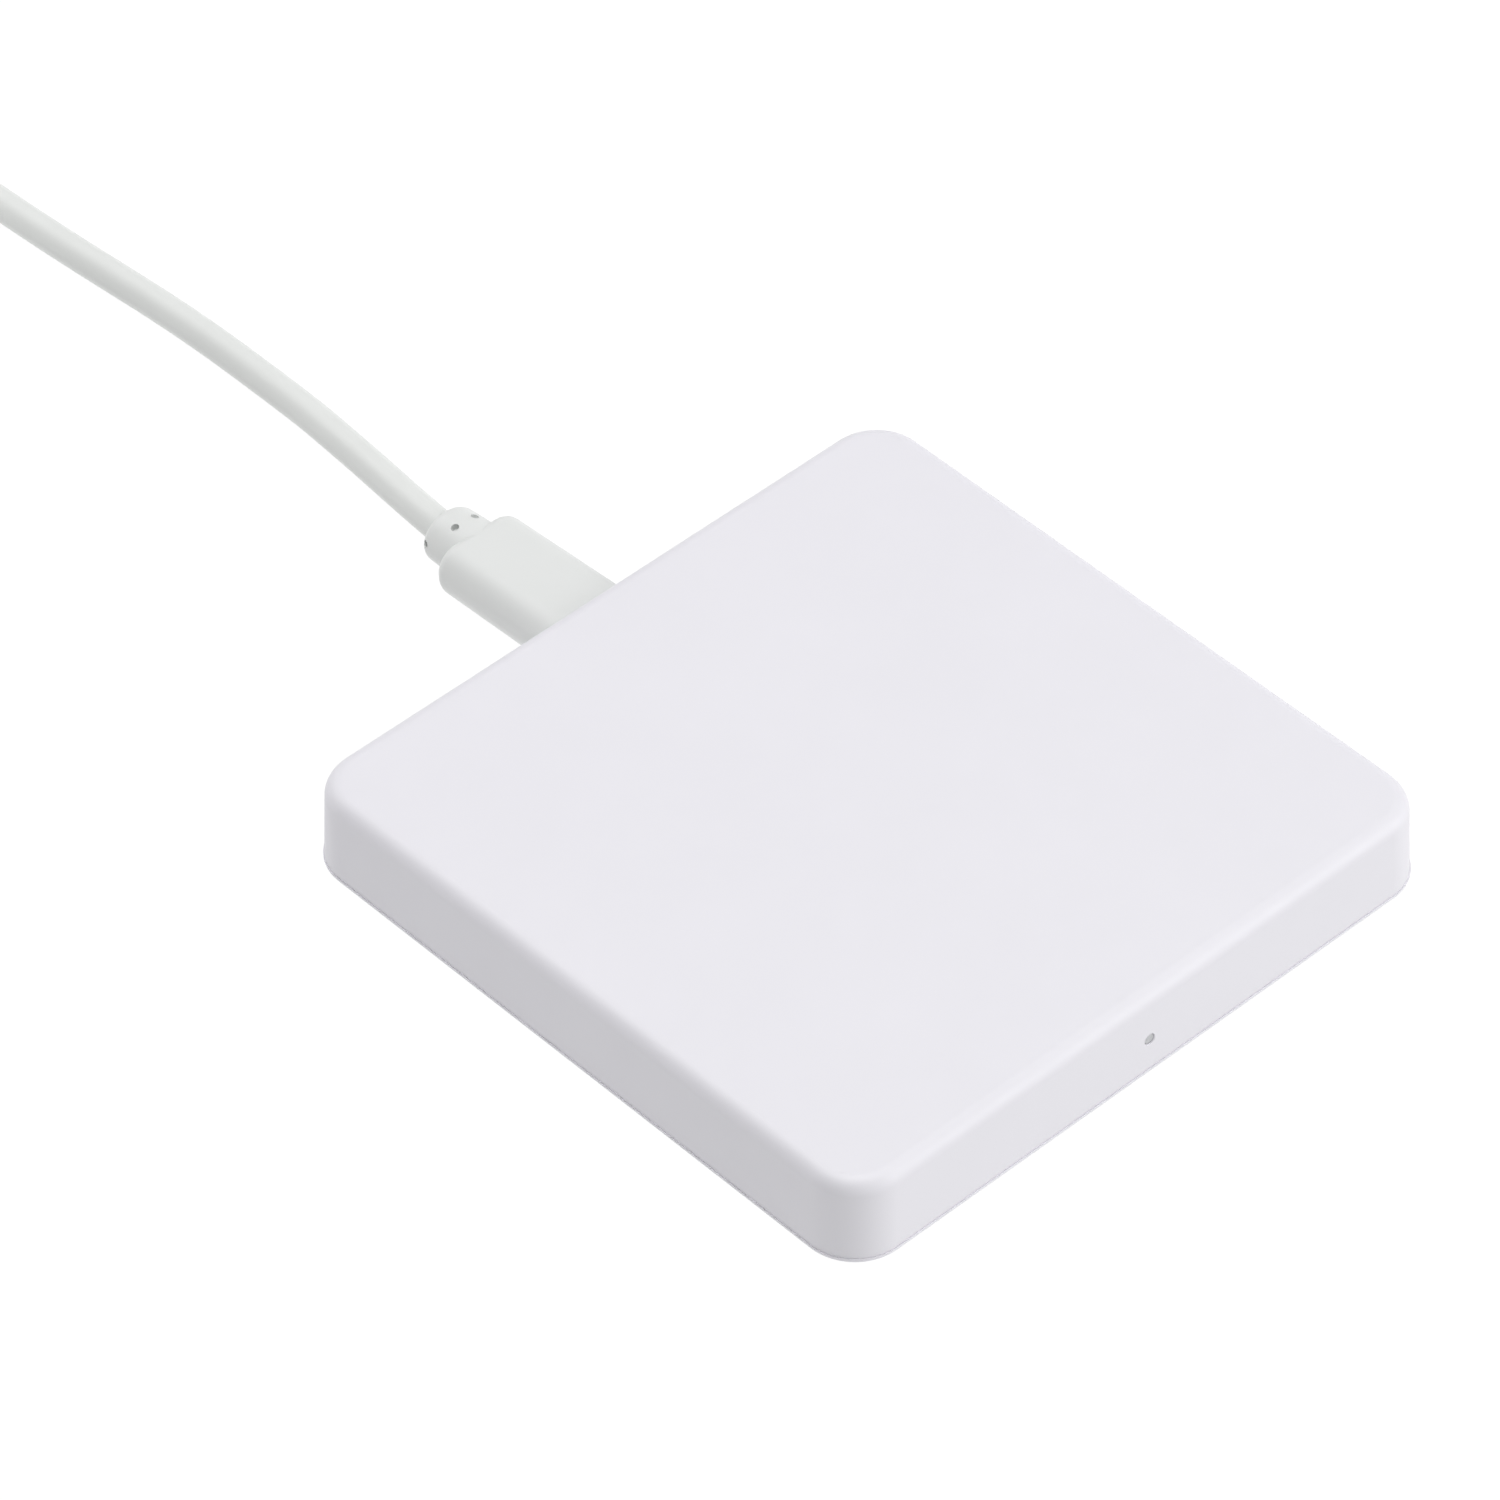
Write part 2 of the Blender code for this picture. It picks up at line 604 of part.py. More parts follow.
def make_light_pipe():
    """A foot over the LED, and a rod from it into the hole in the front wall."""
    width, depth = PIPE_BLOCK
    bottom = BOARD_TOP + 2 * SOLDER + LED_SIZE[2]
    rod = LIGHT_HOLE_DIAMETER - 2 * SOLDER
    height = LIGHT_HEIGHT + rod - bottom
    block = block_mesh("light_pipe", width, depth, height, corner=0.0003, corner_steps=2)
    pipe = add_object("light_pipe", block, MATERIALS["light"], (*LED_PLACE, bottom))
    reach = LED_PLACE[1] + COVER_HALF - PIPE_RECESS
    stem = cylinders_mesh("pipe_rod", [(0, 0)], rod, 0, reach)
    place = (LED_PLACE[0], LED_PLACE[1], LIGHT_HEIGHT)
    boolean(pipe, add_tool("pipe_rod", stem, place, ALONG_MINUS_Y), "UNION")


def make_socket():
    mesh = block_mesh(
        "usb_socket_shell", SOCKET_WIDTH, SOCKET_HEIGHT, SOCKET_DEPTH, OVAL * SOCKET_HEIGHT
    )
    back = SOCKET_MOUTH - SOCKET_DEPTH
    steel = MATERIALS["steel"]
    shell = add_object("usb_socket_shell", mesh, steel, (0, back, PORT_HEIGHT), ALONG_Y)
    wide = SOCKET_WIDTH - 2 * SOCKET_WALL
    high = SOCKET_HEIGHT - 2 * SOCKET_WALL
    inside = (0, back + SOCKET_WALL, PORT_HEIGHT)
    hollow = block_mesh("socket_hollow", wide, high, SOCKET_DEPTH, OVAL * high)
    boolean(shell, add_tool("socket_hollow", hollow, inside, ALONG_Y))

    block_place = (0, inside[1] + SOLDER, PORT_HEIGHT)
    block = block_mesh(
        "tongue_block", wide - 2 * SOLDER, high - 2 * SOLDER, TONGUE_BLOCK, CARRIER_OVAL * high
    )
    tongue = add_object("usb_socket_tongue", block, MATERIALS["insulator"], block_place, ALONG_Y)
    blade = block_mesh(
        "tongue_blade", TONGUE_WIDTH, TONGUE_THICKNESS, TONGUE_BLOCK / 2 + TONGUE_LENGTH
    )
    blade_place = (0, block_place[1] + TONGUE_BLOCK / 2, PORT_HEIGHT)
    boolean(tongue, add_tool("tongue_blade", blade, blade_place, ALONG_Y), "UNION")


# Coil stack under the cover


def make_coil():
    points = []
    for step in range(COIL_TURNS * COIL_TURN_POINTS + 1):
        turn = step / COIL_TURN_POINTS
        angle = 2 * math.pi * turn + math.pi / 2
        radius = COIL_INNER_RADIUS + WIRE_PITCH * turn
        points.append((radius * math.cos(angle), radius * math.sin(angle), COIL_LEVEL))
    tube("transmitter_coil", points, WIRE_DIAMETER, MATERIALS["copper"], resolution=1)
    inner = COIL_INNER_RADIUS - WIRE_DIAMETER / 2
    top = ROOF - SOLDER
    outer = COIL_OUTER_RADIUS
    tape = [(inner, top), (outer, top), (outer, TAPE_BOTTOM), (inner, TAPE_BOTTOM)]
    turned("coil_tape", tape, MATERIALS["tape"], 40, closed=True)


def make_leads():
    """The coil's two ends, each brought down to the board."""
    down = BOARD_TOP + GAP
    under = SHIELD_BOTTOM - LEAD_DIAMETER
    slot = SHIELD_SLOT / 2 - LEAD_DIAMETER
    inner = (
        (0.0003, COIL_INNER_RADIUS, COIL_LEVEL),
        (slot, COIL_INNER_RADIUS - 0.0003, COIL_LEVEL - 0.0001),
        (slot + 0.0003, COIL_INNER_RADIUS + 0.0002, SHIELD_TOP - 0.0002),
        (slot + 0.0003, COIL_INNER_RADIUS + 0.0010, under + 0.0004),
        (slot + 0.0003, COIL_INNER_RADIUS + 0.0030, under - 0.0002),
        (slot + 0.0003, COIL_INNER_RADIUS + 0.0052, down + 0.0010),
        (slot + 0.0003, COIL_INNER_RADIUS + 0.0052, down),
    )
    edge = SHIELD_SIDE / 2 + LEAD_DIAMETER
    outer = (
        (-0.0003, COIL_OUTER_RADIUS, COIL_LEVEL),
        (-0.0022, COIL_OUTER_RADIUS + 0.0006, COIL_LEVEL),
        (-0.0042, edge - 0.0010, COIL_LEVEL),
        (-0.0052, edge + 0.0003, COIL_LEVEL - 0.0006),
        (-0.0055, edge + 0.0006, SHIELD_TOP - 0.0010),
        (-0.0055, edge + 0.0006, under),
        (-0.0055, edge + 0.0006, down + 0.0010),
        (-0.0055, edge + 0.0006, down),
    )
    tube("coil_lead_inner", smooth_path(inner, 0.001), LEAD_DIAMETER, MATERIALS["copper"], 1)
    tube("coil_lead_outer", smooth_path(outer, 0.001), LEAD_DIAMETER, MATERIALS["copper"], 1)


def make_shield():
    mesh = block_mesh(
        "ferrite_sheet", SHIELD_SIDE, SHIELD_SIDE, SHIELD_THICKNESS, SHIELD_CORNER, corner_steps=2
    )
    shield = add_object("ferrite_sheet", mesh, MATERIALS["ferrite"], (0, 0, SHIELD_BOTTOM))
    run = SHIELD_SIDE / 2 - SHIELD_SLOT_START + GAP
    slot = block_mesh("shield_slot", SHIELD_SLOT, run, 3 * SHIELD_THICKNESS)
    place = (0, SHIELD_SLOT_START + run / 2, SHIELD_BOTTOM - SHIELD_THICKNESS)
    boolean(shield, add_tool("shield_slot", slot, place))


def make_sensor():
    radius = SENSOR_DIAMETER / 2
    level = SHIELD_TOP + SOLDER + radius
    half = SENSOR_LENGTH / 2
    arc = [math.radians(a) for a in (90, 60, 30)]
    profile = [(radius * math.cos(a), half - radius + radius * math.sin(a)) for a in arc]
    profile = [(0, half)] + profile[1:] + [(radius, half - radius), (radius, radius - half)]
    profile += [(radius * math.cos(a), -(half - radius + radius * math.sin(a))) for a in arc[:0:-1]]
    profile.append((0, -half))
    turned("temperature_sensor", profile, MATERIALS["chip"], 12, place=(0, 0, level), turn=ALONG_Y)
    end = half + SOLDER
    down = BOARD_TOP + SOLDER
    for number, side in enumerate((-1, 1), 1):
        x = side * SENSOR_WIRE_SPREAD / 2
        route = (
            (x / 2, end, level),
            (x, end + 0.0014, level),
            (x, SHIELD_SLOT_START + 0.0008, level - 0.0004),
            (x, SHIELD_SLOT_START + 0.0016, SHIELD_TOP - 0.0008),
            (x, SHIELD_SLOT_START + 0.0016, (SHIELD_BOTTOM + down) / 2),
            (x, SHIELD_SLOT_START + 0.0016, down),
        )
        wire = smooth_path(route, 0.0009)
        tube(f"sensor_wire_{number}", wire, SENSOR_WIRE_DIAMETER, MATERIALS["insulator"], 1)


# Cable plug, collar and cable


def make_plug():
    """The steel shell lies straight in the socket. The overmould and its collar hang from the mouth."""
    tip = PLUG_FACE - PLUG_SHELL_REACH
    length = PLUG_SHELL_REACH + PLUG_SHELL_ROOT
    mesh = block_mesh(
        "plug_shell", PLUG_SHELL_WIDTH, PLUG_SHELL_HEIGHT, length, OVAL * PLUG_SHELL_HEIGHT
    )
    shell = add_object("plug_shell", mesh, MATERIALS["steel"], (0, tip, PORT_HEIGHT), ALONG_Y)
    wide = PLUG_SHELL_WIDTH - 2 * PLUG_SHELL_WALL
    high = PLUG_SHELL_HEIGHT - 2 * PLUG_SHELL_WALL
    hollow = block_mesh("plug_hollow", wide, high, length, OVAL * high)
    hollow_place = (0, tip - PLUG_SHELL_WALL, PORT_HEIGHT)
    boolean(shell, add_tool("plug_hollow", hollow, hollow_place, ALONG_Y))
    insert = block_mesh(
        "plug_insert", wide - 2 * SOLDER, high - 2 * SOLDER, PLUG_INSERT_LENGTH, CARRIER_OVAL * high
    )
    insert_start = hollow_place[1] + length - SOLDER - PLUG_INSERT_LENGTH
    insert_place = (0, insert_start, PORT_HEIGHT)
    add_object("plug_insert", insert, MATERIALS["insulator"], insert_place, ALONG_Y)

    hinge = bpy.data.objects.new("plug_hang", None)
    hinge.location = (0, WALL_FACE, PORT_HEIGHT)
    hinge.rotation_euler.x = -PLUG_SAG
    PARTS.objects.link(hinge)
    body = block_mesh(
        "plug_overmould",
        PLUG_WIDTH,
        PLUG_HEIGHT,
        PLUG_LENGTH,
        corner=PLUG_ROUND,
        top=PLUG_END_ROUND,
        bottom=SOLDER,
        lean=PLUG_TAPER,
        corner_steps=6,
    )
    overmould = add_object(
        "plug_overmould", body, MATERIALS["cable"], (0, PLUG_FACE_GAP, 0), ALONG_Y, hinge
    )
    socket = block_mesh(
        "plug_pocket",
        PLUG_SHELL_WIDTH + 2 * GAP,
        PLUG_SHELL_HEIGHT + 3 * GAP,
        PLUG_SHELL_ROOT + 3 * GAP,
        corner=PLUG_SHELL_HEIGHT / 2,
    )
    pocket_place = (0, PLUG_FACE - 2 * GAP, PORT_HEIGHT)
    boolean(overmould, add_tool("plug_pocket", socket, pocket_place, ALONG_Y))
    make_collar(hinge)


def make_collar(hinge):
    root = COLLAR_ROOT_DIAMETER / 2
    end = CORD_RADIUS + COLLAR_LIP
    shoulder = COLLAR_LENGTH - COLLAR_END_ROUND

    def radius_at(height):
        share = height / COLLAR_LENGTH
        return root + (end - root) * share**COLLAR_FLARE

    side = [(radius_at(h), h) for h in np.linspace(0, shoulder, 6)]
    tip = []
    for angle in (30, 60, 90):
        a = math.radians(angle)
        inset = COLLAR_END_ROUND * (1 - math.cos(a))
        tip.append((radius_at(shoulder) - inset, shoulder + COLLAR_END_ROUND * math.sin(a)))
    profile = [(0, COLLAR_LENGTH)] + (side + tip)[::-1] + [(0, 0)]
    place = (0, COLLAR_START, 0)
    collar = turned(
        "strain_relief", profile, MATERIALS["cable"], 24, place=place, turn=ALONG_Y, parent=hinge
    )
    rows = [(COLLAR_FRONT_ROW, a) for a in COLLAR_FRONT_HOLES]
    rows += [(COLLAR_SIDE_ROW, a) for a in COLLAR_SIDE_HOLES]
    bm = bmesh.new()
    for height, degrees in rows:
        # The collar's own Y points down once it lies along the plug, so the angle is turned with it.
        angle = -math.radians(degrees)
        outward = Vector((math.cos(angle), math.sin(angle), 0))
        middle = outward * radius_at(height) + Vector((0, 0, height))
        facing = outward.to_track_quat("Z", "Y").to_matrix().to_4x4()
        bmesh.ops.create_cone(
            bm,
            cap_ends=True,
            segments=12,
            radius1=COLLAR_HOLE_DIAMETER / 2,
            radius2=COLLAR_HOLE_DIAMETER / 2,
            depth=2 * COLLAR_HOLE_DEPTH,
            matrix=Matrix.Translation(middle) @ facing,
        )
    holes = mesh_from(bm, "collar_holes")
    boolean(collar, add_tool("collar_holes", holes, place, ALONG_Y, hinge))


def make_cord():
    rise = CORD_EXIT.z - CORD_RADIUS
    route = [(x, CORD_EXIT.y + y, CORD_RADIUS + rise * share) for x, y, share in CORD_ROUTE]
    tube("cord", smooth_path(route, CORD_POINT_SPACING), CORD_DIAMETER, MATERIALS["cable"])
    rise = USB_A_AXIS - CORD_RADIUS
    route = [
        (USB_A_X + x, USB_A_COLLAR_Y + y, CORD_RADIUS + rise * share) for x, y, share in TAIL_ROUTE
    ]
    tube("cord_tail", smooth_path(route, CORD_POINT_SPACING / 2), CORD_DIAMETER, MATERIALS["cable"])


def ring_section():
    """The outline of the turns: a low trapezium with rounded corners, as (radius, height)."""
    outer = RING_OUTER
    inner = outer - RING_WIDTH
    cut = RING_CUT * CORD_DIAMETER
    shelf = CORD_RADIUS
    return [
        (outer - shelf, RING_HEIGHT),
        (outer, CORD_DIAMETER - cut),
        (outer, cut),
        (outer - cut, 0),
        (inner + cut, 0),
        (inner, cut),
        (inner, CORD_DIAMETER - cut),
        (inner + shelf, RING_HEIGHT),
    ]


def make_ring():
    ring = turned("cord_coil", ring_section(), MATERIALS["cable"], 32, closed=True, place=RING_CENTRE)
    band_width = RING_WIDTH - 2 * GAP
    band_height = RING_HEIGHT
    place = Matrix.Translation(RING_CENTRE) @ Matrix.Rotation(TIE_ANGLE, 4, "Z")

    def band(name, grown):
        """The tie is a frame round the turns' section. Grown, it is the groove that the tie lies in."""
        wide = band_width + 2 * grown
        high = band_height + 2 * grown
        length = TIE_WIDTH + 2 * grown
        mesh = block_mesh(name, wide, length, high, corner=0)
        hole = TIE_THICKNESS + 2 * grown
        void = block_mesh(name + "_hole", wide - 2 * hole, length * 2, high - 2 * hole, corner=0)
        return mesh, void, hole

    mesh, void, hole = band("cable_tie", 0)
    middle = place @ Vector((RING_TURN_RADIUS, 0, 0))
    turn = (0, 0, TIE_ANGLE)
    tie = add_object("cable_tie", mesh, MATERIALS["tie"], middle, turn)
    boolean(tie, add_tool("tie_hole", void, middle + Vector((0, 0, hole)), turn))
    mesh, void, hole = band("tie_groove", GAP)
    low = middle - Vector((0, 0, GAP))
    groove = add_tool("tie_groove", mesh, low, turn)
    boolean(groove, add_tool("groove_core", void, low + Vector((0, 0, hole)), turn))
    boolean(ring, groove)


def make_usb_a_plug():
    level = USB_A_AXIS
    face = (USB_A_X, USB_A_BODY_Y, level)
    mesh = block_mesh(
        "usb_a_overmould",
        USB_A_WIDTH,
        USB_A_HEIGHT,
        USB_A_LENGTH,
        corner=USB_A_ROUND,
        bottom=USB_A_END_ROUND,
        top=SOLDER,
        corner_steps=4,
    )
    body = add_object("usb_a_overmould", mesh, MATERIALS["cable"], face, ALONG_MINUS_Y)
    pocket = block_mesh(
        "usb_a_pocket",
        USB_A_SHELL_WIDTH + 2 * GAP,
        USB_A_SHELL_HEIGHT + 2 * GAP,
        USB_A_SHELL_ROOT + 3 * GAP,
    )
    deep = USB_A_FACE_Y + USB_A_SHELL_ROOT + GAP
    boolean(body, add_tool("usb_a_pocket", pocket, (USB_A_X, deep, level), ALONG_MINUS_Y))

    root = USB_A_COLLAR_ROOT / 2
    end = CORD_RADIUS + USB_A_COLLAR_LIP
    profile = [
        (0, USB_A_COLLAR_LENGTH),
        (end - SOLDER, USB_A_COLLAR_LENGTH),
        (end, USB_A_COLLAR_LENGTH - 2 * SOLDER),
        (root, 0),
        (0, 0),
    ]
    place = (USB_A_X, USB_A_COLLAR_Y - USB_A_COLLAR_LENGTH, level)
    turned("usb_a_strain_relief", profile, MATERIALS["cable"], 16, place=place, turn=ALONG_Y)

    length = USB_A_SHELL_REACH + USB_A_SHELL_ROOT
    start = (USB_A_X, USB_A_FACE_Y + USB_A_SHELL_ROOT, level)
    mesh = block_mesh(
        "usb_a_shell", USB_A_SHELL_WIDTH, USB_A_SHELL_HEIGHT, length, 0.0004, corner_steps=2
    )
    shell = add_object("usb_a_shell", mesh, MATERIALS["steel"], start, ALONG_MINUS_Y)
    wide = USB_A_SHELL_WIDTH - 2 * USB_A_SHELL_WALL
    high = USB_A_SHELL_HEIGHT - 2 * USB_A_SHELL_WALL
    hollow = block_mesh("usb_a_hollow", wide, high, length)
    inside = (USB_A_X, start[1] - USB_A_SHELL_WALL, level)
    boolean(shell, add_tool("usb_a_hollow", hollow, inside, ALONG_MINUS_Y))
    blade_length = length - USB_A_SHELL_WALL - 2 * GAP
    blade = block_mesh("usb_a_blade", wide - 2 * SOLDER, USB_A_BLADE_THICKNESS, blade_length)
    low = level - high / 2 + SOLDER + USB_A_BLADE_THICKNESS / 2
    blade_place = (USB_A_X, inside[1] - SOLDER, low)
    add_object("usb_a_blade", blade, MATERIALS["insulator"], blade_place, ALONG_MINUS_Y)


clear_scene()
PARTS = new_collection("wireless_charging_pad")
TOOLS = new_collection("cutters")
MATERIALS = make_materials()
make_cover()
make_base()
make_feet_and_screws()
make_board()
make_light_pipe()
make_socket()
make_coil()
make_leads()
make_shield()
make_sensor()
make_plug()
make_cord()
make_ring()
make_usb_a_plug()
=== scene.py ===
# A square wireless charging pad with its USB cable plugged in: the looks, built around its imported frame.
# Metres, +Z up. The front wall, with the status light, faces -Y. The cable leaves the back, +Y.
import math

import bpy
from mathutils import Matrix, Vector


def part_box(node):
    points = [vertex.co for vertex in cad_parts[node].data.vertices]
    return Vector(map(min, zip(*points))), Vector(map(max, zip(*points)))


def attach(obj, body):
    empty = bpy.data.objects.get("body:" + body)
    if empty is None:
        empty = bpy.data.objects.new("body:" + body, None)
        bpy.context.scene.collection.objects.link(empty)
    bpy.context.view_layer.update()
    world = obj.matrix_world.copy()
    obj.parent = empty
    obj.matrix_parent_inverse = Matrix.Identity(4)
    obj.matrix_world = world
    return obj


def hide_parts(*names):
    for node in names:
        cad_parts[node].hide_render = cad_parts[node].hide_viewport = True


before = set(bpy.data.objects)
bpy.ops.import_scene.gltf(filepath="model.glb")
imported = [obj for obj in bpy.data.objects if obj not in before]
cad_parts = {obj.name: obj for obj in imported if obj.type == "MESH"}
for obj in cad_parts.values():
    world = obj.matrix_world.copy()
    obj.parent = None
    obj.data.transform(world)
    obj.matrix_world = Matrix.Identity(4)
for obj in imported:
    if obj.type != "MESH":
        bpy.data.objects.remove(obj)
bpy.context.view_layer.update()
print("stage: frame loaded,", len(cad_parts), "nodes")

mm = 0.001
near = 0.01 * mm  # how far off its place an edge or a face may be
upToFront = (math.pi / 2, 0, 0)  # turns +Z to -Y
upToBack = (-math.pi / 2, 0, 0)


cameraSet = {
    "place": (-0.43473, -0.45401, 0.63116),
    "azimuth": -42.716,  # degrees, and 0 looks along +Y
    "elevation": 44.364,
    "roll": -0.677,
    "lens": 214.64,  # mm
    "sensor": 36,
}


def addCamera():
    data = bpy.data.cameras.new("camera")
    data.lens = cameraSet["lens"]
    data.sensor_width = cameraSet["sensor"]
    camera = bpy.data.objects.new("camera", data)
    bpy.context.scene.collection.objects.link(camera)
    swing = Matrix.Rotation(math.radians(cameraSet["azimuth"]), 4, "Z")
    tip = Matrix.Rotation(math.radians(90 - cameraSet["elevation"]), 4, "X")
    roll = Matrix.Rotation(math.radians(cameraSet["roll"]), 4, "Z")
    camera.matrix_world = Matrix.Translation(cameraSet["place"]) @ swing @ tip @ roll
    bpy.context.scene.camera = camera


addCamera()


def middleOf(node):
    low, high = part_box(node)
    return (low + high) / 2


def sizeOf(node):
    low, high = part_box(node)
    return high - low


socket = middleOf("usb_socket_shell")
caseLow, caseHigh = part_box("top_cover")
baseLow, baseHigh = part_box("base_cover")
ringMiddle = middleOf("cord_coil")


def deselectAll():
    if bpy.context.mode != "OBJECT":
        bpy.ops.object.mode_set(mode="OBJECT")
    bpy.ops.object.select_all(action="DESELECT")


def selectOnly(piece):
    deselectAll()
    piece.select_set(True)
    bpy.context.view_layer.objects.active = piece


def keepNew(name):
    piece = bpy.context.object
    piece.name = name
    bpy.ops.object.transform_apply(location=True, rotation=True, scale=True)
    return piece


def addBlock(name, low, high):
    deselectAll()
    low, high = Vector(low), Vector(high)
    bpy.ops.mesh.primitive_cube_add(size=1, location=(low + high) / 2)
    bpy.context.object.scale = high - low
    return keepNew(name)


def addRod(name, place, radius, depth, sides=32, turn=(0, 0, 0)):
    deselectAll()
    bpy.ops.mesh.primitive_cylinder_add(
        vertices=sides, radius=radius, depth=depth, location=place, rotation=turn
    )
    return keepNew(name)


# Goes into edit mode with the faces selected whose middle and normal pass.
def editFaces(piece, test):
    selectOnly(piece)
    bpy.ops.object.mode_set(mode="EDIT")
    bpy.ops.mesh.select_mode(type="FACE")
    bpy.ops.mesh.select_all(action="DESELECT")
    bpy.ops.object.mode_set(mode="OBJECT")
    for face in piece.data.polygons:
        face.select = bool(test(face.center, face.normal))
    bpy.ops.object.mode_set(mode="EDIT")


def editEdges(piece, test):
    selectOnly(piece)
    bpy.ops.object.mode_set(mode="EDIT")
    bpy.ops.mesh.select_mode(type="EDGE")
    bpy.ops.mesh.select_all(action="DESELECT")
    bpy.ops.object.mode_set(mode="OBJECT")
    points = piece.data.vertices
    for edge in piece.data.edges:
        edge.select = bool(test(*(points[i].co for i in edge.vertices)))
    bpy.ops.object.mode_set(mode="EDIT")


def endEdit():
    bpy.ops.object.mode_set(mode="OBJECT")


def everything(*_):
    return True


def extrude(x, y, z):
    bpy.ops.mesh.extrude_region_move(TRANSFORM_OT_translate={"value": (x, y, z)})


def roundEdges(piece, width, steps, test):
    editEdges(piece, test)
    bpy.ops.mesh.bevel(
        offset=width, offset_type="OFFSET", segments=steps, profile=0.5, affect="EDGES",
        clamp_overlap=False,
    )
    endEdit()


def applyModifier(piece, kind, **settings):
    selectOnly(piece)
    modifier = piece.modifiers.new(kind.lower(), kind)
    for name, value in settings.items():
        setattr(modifier, name, value)
    bpy.ops.object.modifier_apply(modifier=modifier.name)


def combine(piece, tool, operation="DIFFERENCE"):
    applyModifier(piece, "BOOLEAN", object=tool, operation=operation, solver="EXACT")
    bpy.data.objects.remove(tool, do_unlink=True)


# Merges doubles and points the faces outwards.
def turnOut(piece):
    editFaces(piece, everything)
    bpy.ops.mesh.remove_doubles(threshold=1e-7)
    bpy.ops.mesh.normals_make_consistent(inside=False)
    endEdit()


# A round piece about Z: a disc at the first (radius, height), extruded to each of the others.
def latheUp(name, outline, sides=64):
    deselectAll()
    radius, height = outline[0]
    bpy.ops.mesh.primitive_circle_add(
        vertices=sides, radius=radius, fill_type="NGON", location=(0, 0, height)
    )
    piece = keepNew(name)
    editFaces(piece, everything)
    for nextRadius, nextHeight in outline[1:]:
        extrude(0, 0, nextHeight - height)
        bpy.ops.transform.resize(value=(nextRadius / radius, nextRadius / radius, 1))
        radius, height = nextRadius, nextHeight
    endEdit()
    turnOut(piece)
    return piece


def putInPlace(piece, place, turn=(0, 0, 0)):
    selectOnly(piece)
    piece.location = place
    piece.rotation_euler = turn
    bpy.ops.object.transform_apply(location=True, rotation=True, scale=True)


def finishPiece(piece, material, body, slot, *nodes, angle=35):
    selectOnly(piece)
    if piece.type == "MESH":
        bpy.ops.object.shade_smooth_by_angle(angle=math.radians(angle))
        applyModifier(piece, "WEIGHTED_NORMAL", keep_sharp=True, weight=60)
    piece.data.materials.clear()
    piece.data.materials.append(material)
    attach(piece, body)
    if nodes:
        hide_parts(*nodes)
    return piece


def shaderOf(material):
    return material.node_tree.nodes["Principled BSDF"]


def newMaterial(name, colour, roughness, metallic=0.0):
    material = bpy.data.materials.new(name)
    material.use_nodes = True
    shader = shaderOf(material)
    shader.inputs["Base Color"].default_value = (*colour, 1)
    shader.inputs["Roughness"].default_value = roughness
    shader.inputs["Metallic"].default_value = metallic
    return material


def addNode(material, kind, inputs=None, **settings):
    node = material.node_tree.nodes.new(kind)
    for name, value in settings.items():
        setattr(node, name, value)
    for name, value in (inputs or {}).items():
        node.inputs[name].default_value = value
    return node


def join(material, source, output, target, inlet):
    material.node_tree.links.new(source.outputs[output], target.inputs[inlet])


def objectCoords(material, stretch=(1, 1, 1)):
    coords = addNode(material, "ShaderNodeTexCoord")
    mapping = addNode(material, "ShaderNodeMapping", {"Scale": stretch})
    join(material, coords, "Object", mapping, "Vector")
    return mapping


def addNoise(material, coords, size, detail=2.0, roughness=0.5):
    noise = addNode(
        material, "ShaderNodeTexNoise", {"Scale": 1 / size, "Detail": detail, "Roughness": roughness}
    )
    join(material, coords, "Vector", noise, "Vector")
    return noise


def addRamp(material, stops):
    ramp = addNode(material, "ShaderNodeValToRGB")
    band = ramp.color_ramp
    while len(band.elements) < len(stops):
        band.elements.new(0.5)
    for element, (place, colour) in zip(band.elements, stops):
        element.position = place
        element.color = (*colour, 1)
    return ramp


def tinted(colour, share):
    return tuple(min(1.0, c * share) for c in colour)


# The base colour drifts a little either way, in patches of about this size.
def addMottle(material, coords, colour, size, amount):
    noise = addNoise(material, coords, size, detail=3)
    ramp = addRamp(material, [(0.3, tinted(colour, 1 - amount)), (0.7, tinted(colour, 1 + amount))])
    join(material, noise, "Fac", ramp, "Fac")
    join(material, ramp, "Color", shaderOf(material), "Base Color")


def addSheenPatches(material, coords, size, low, high):
    noise = addNoise(material, coords, size, detail=4)
    spread = addNode(
        material, "ShaderNodeMapRange", {"From Min": 0.3, "From Max": 0.7, "To Min": low, "To Max": high}
    )
    join(material, noise, "Fac", spread, "Value")
    join(material, spread, "Result", shaderOf(material), "Roughness")


def addBump(material, source, output, depth, strength):
    bump = addNode(material, "ShaderNodeBump", {"Strength": strength, "Distance": depth})
    join(material, source, output, bump, "Height")
    join(material, bump, "Normal", shaderOf(material), "Normal")


def addGrain(material, coords, size, depth, strength=0.5):
    addBump(material, addNoise(material, coords, size), "Fac", depth, strength)


def mouldedPlastic(name, colour, roughness, grain=0.12 * mm, depth=0.004 * mm, mottle=0.006):
    material = newMaterial(name, colour, roughness)
    coords = objectCoords(material)
    addMottle(material, coords, colour, 14 * mm, mottle)
    addSheenPatches(material, coords, 3 * mm, roughness - 0.04, roughness + 0.04)
    addGrain(material, coords, grain, depth)
    return material


# Long fine scratches: stretch is small along the brushing and large across it.
def brushedMetal(name, colour, roughness, stretch):
    material = newMaterial(name, colour, roughness, 1.0)
    coords = objectCoords(material, stretch)
    addMottle(material, coords, colour, 1 * mm, 0.07)
    addSheenPatches(material, coords, 0.4 * mm, roughness - 0.08, roughness + 0.08)
    addGrain(material, coords, 0.25 * mm, 0.003 * mm, 0.4)
    return material


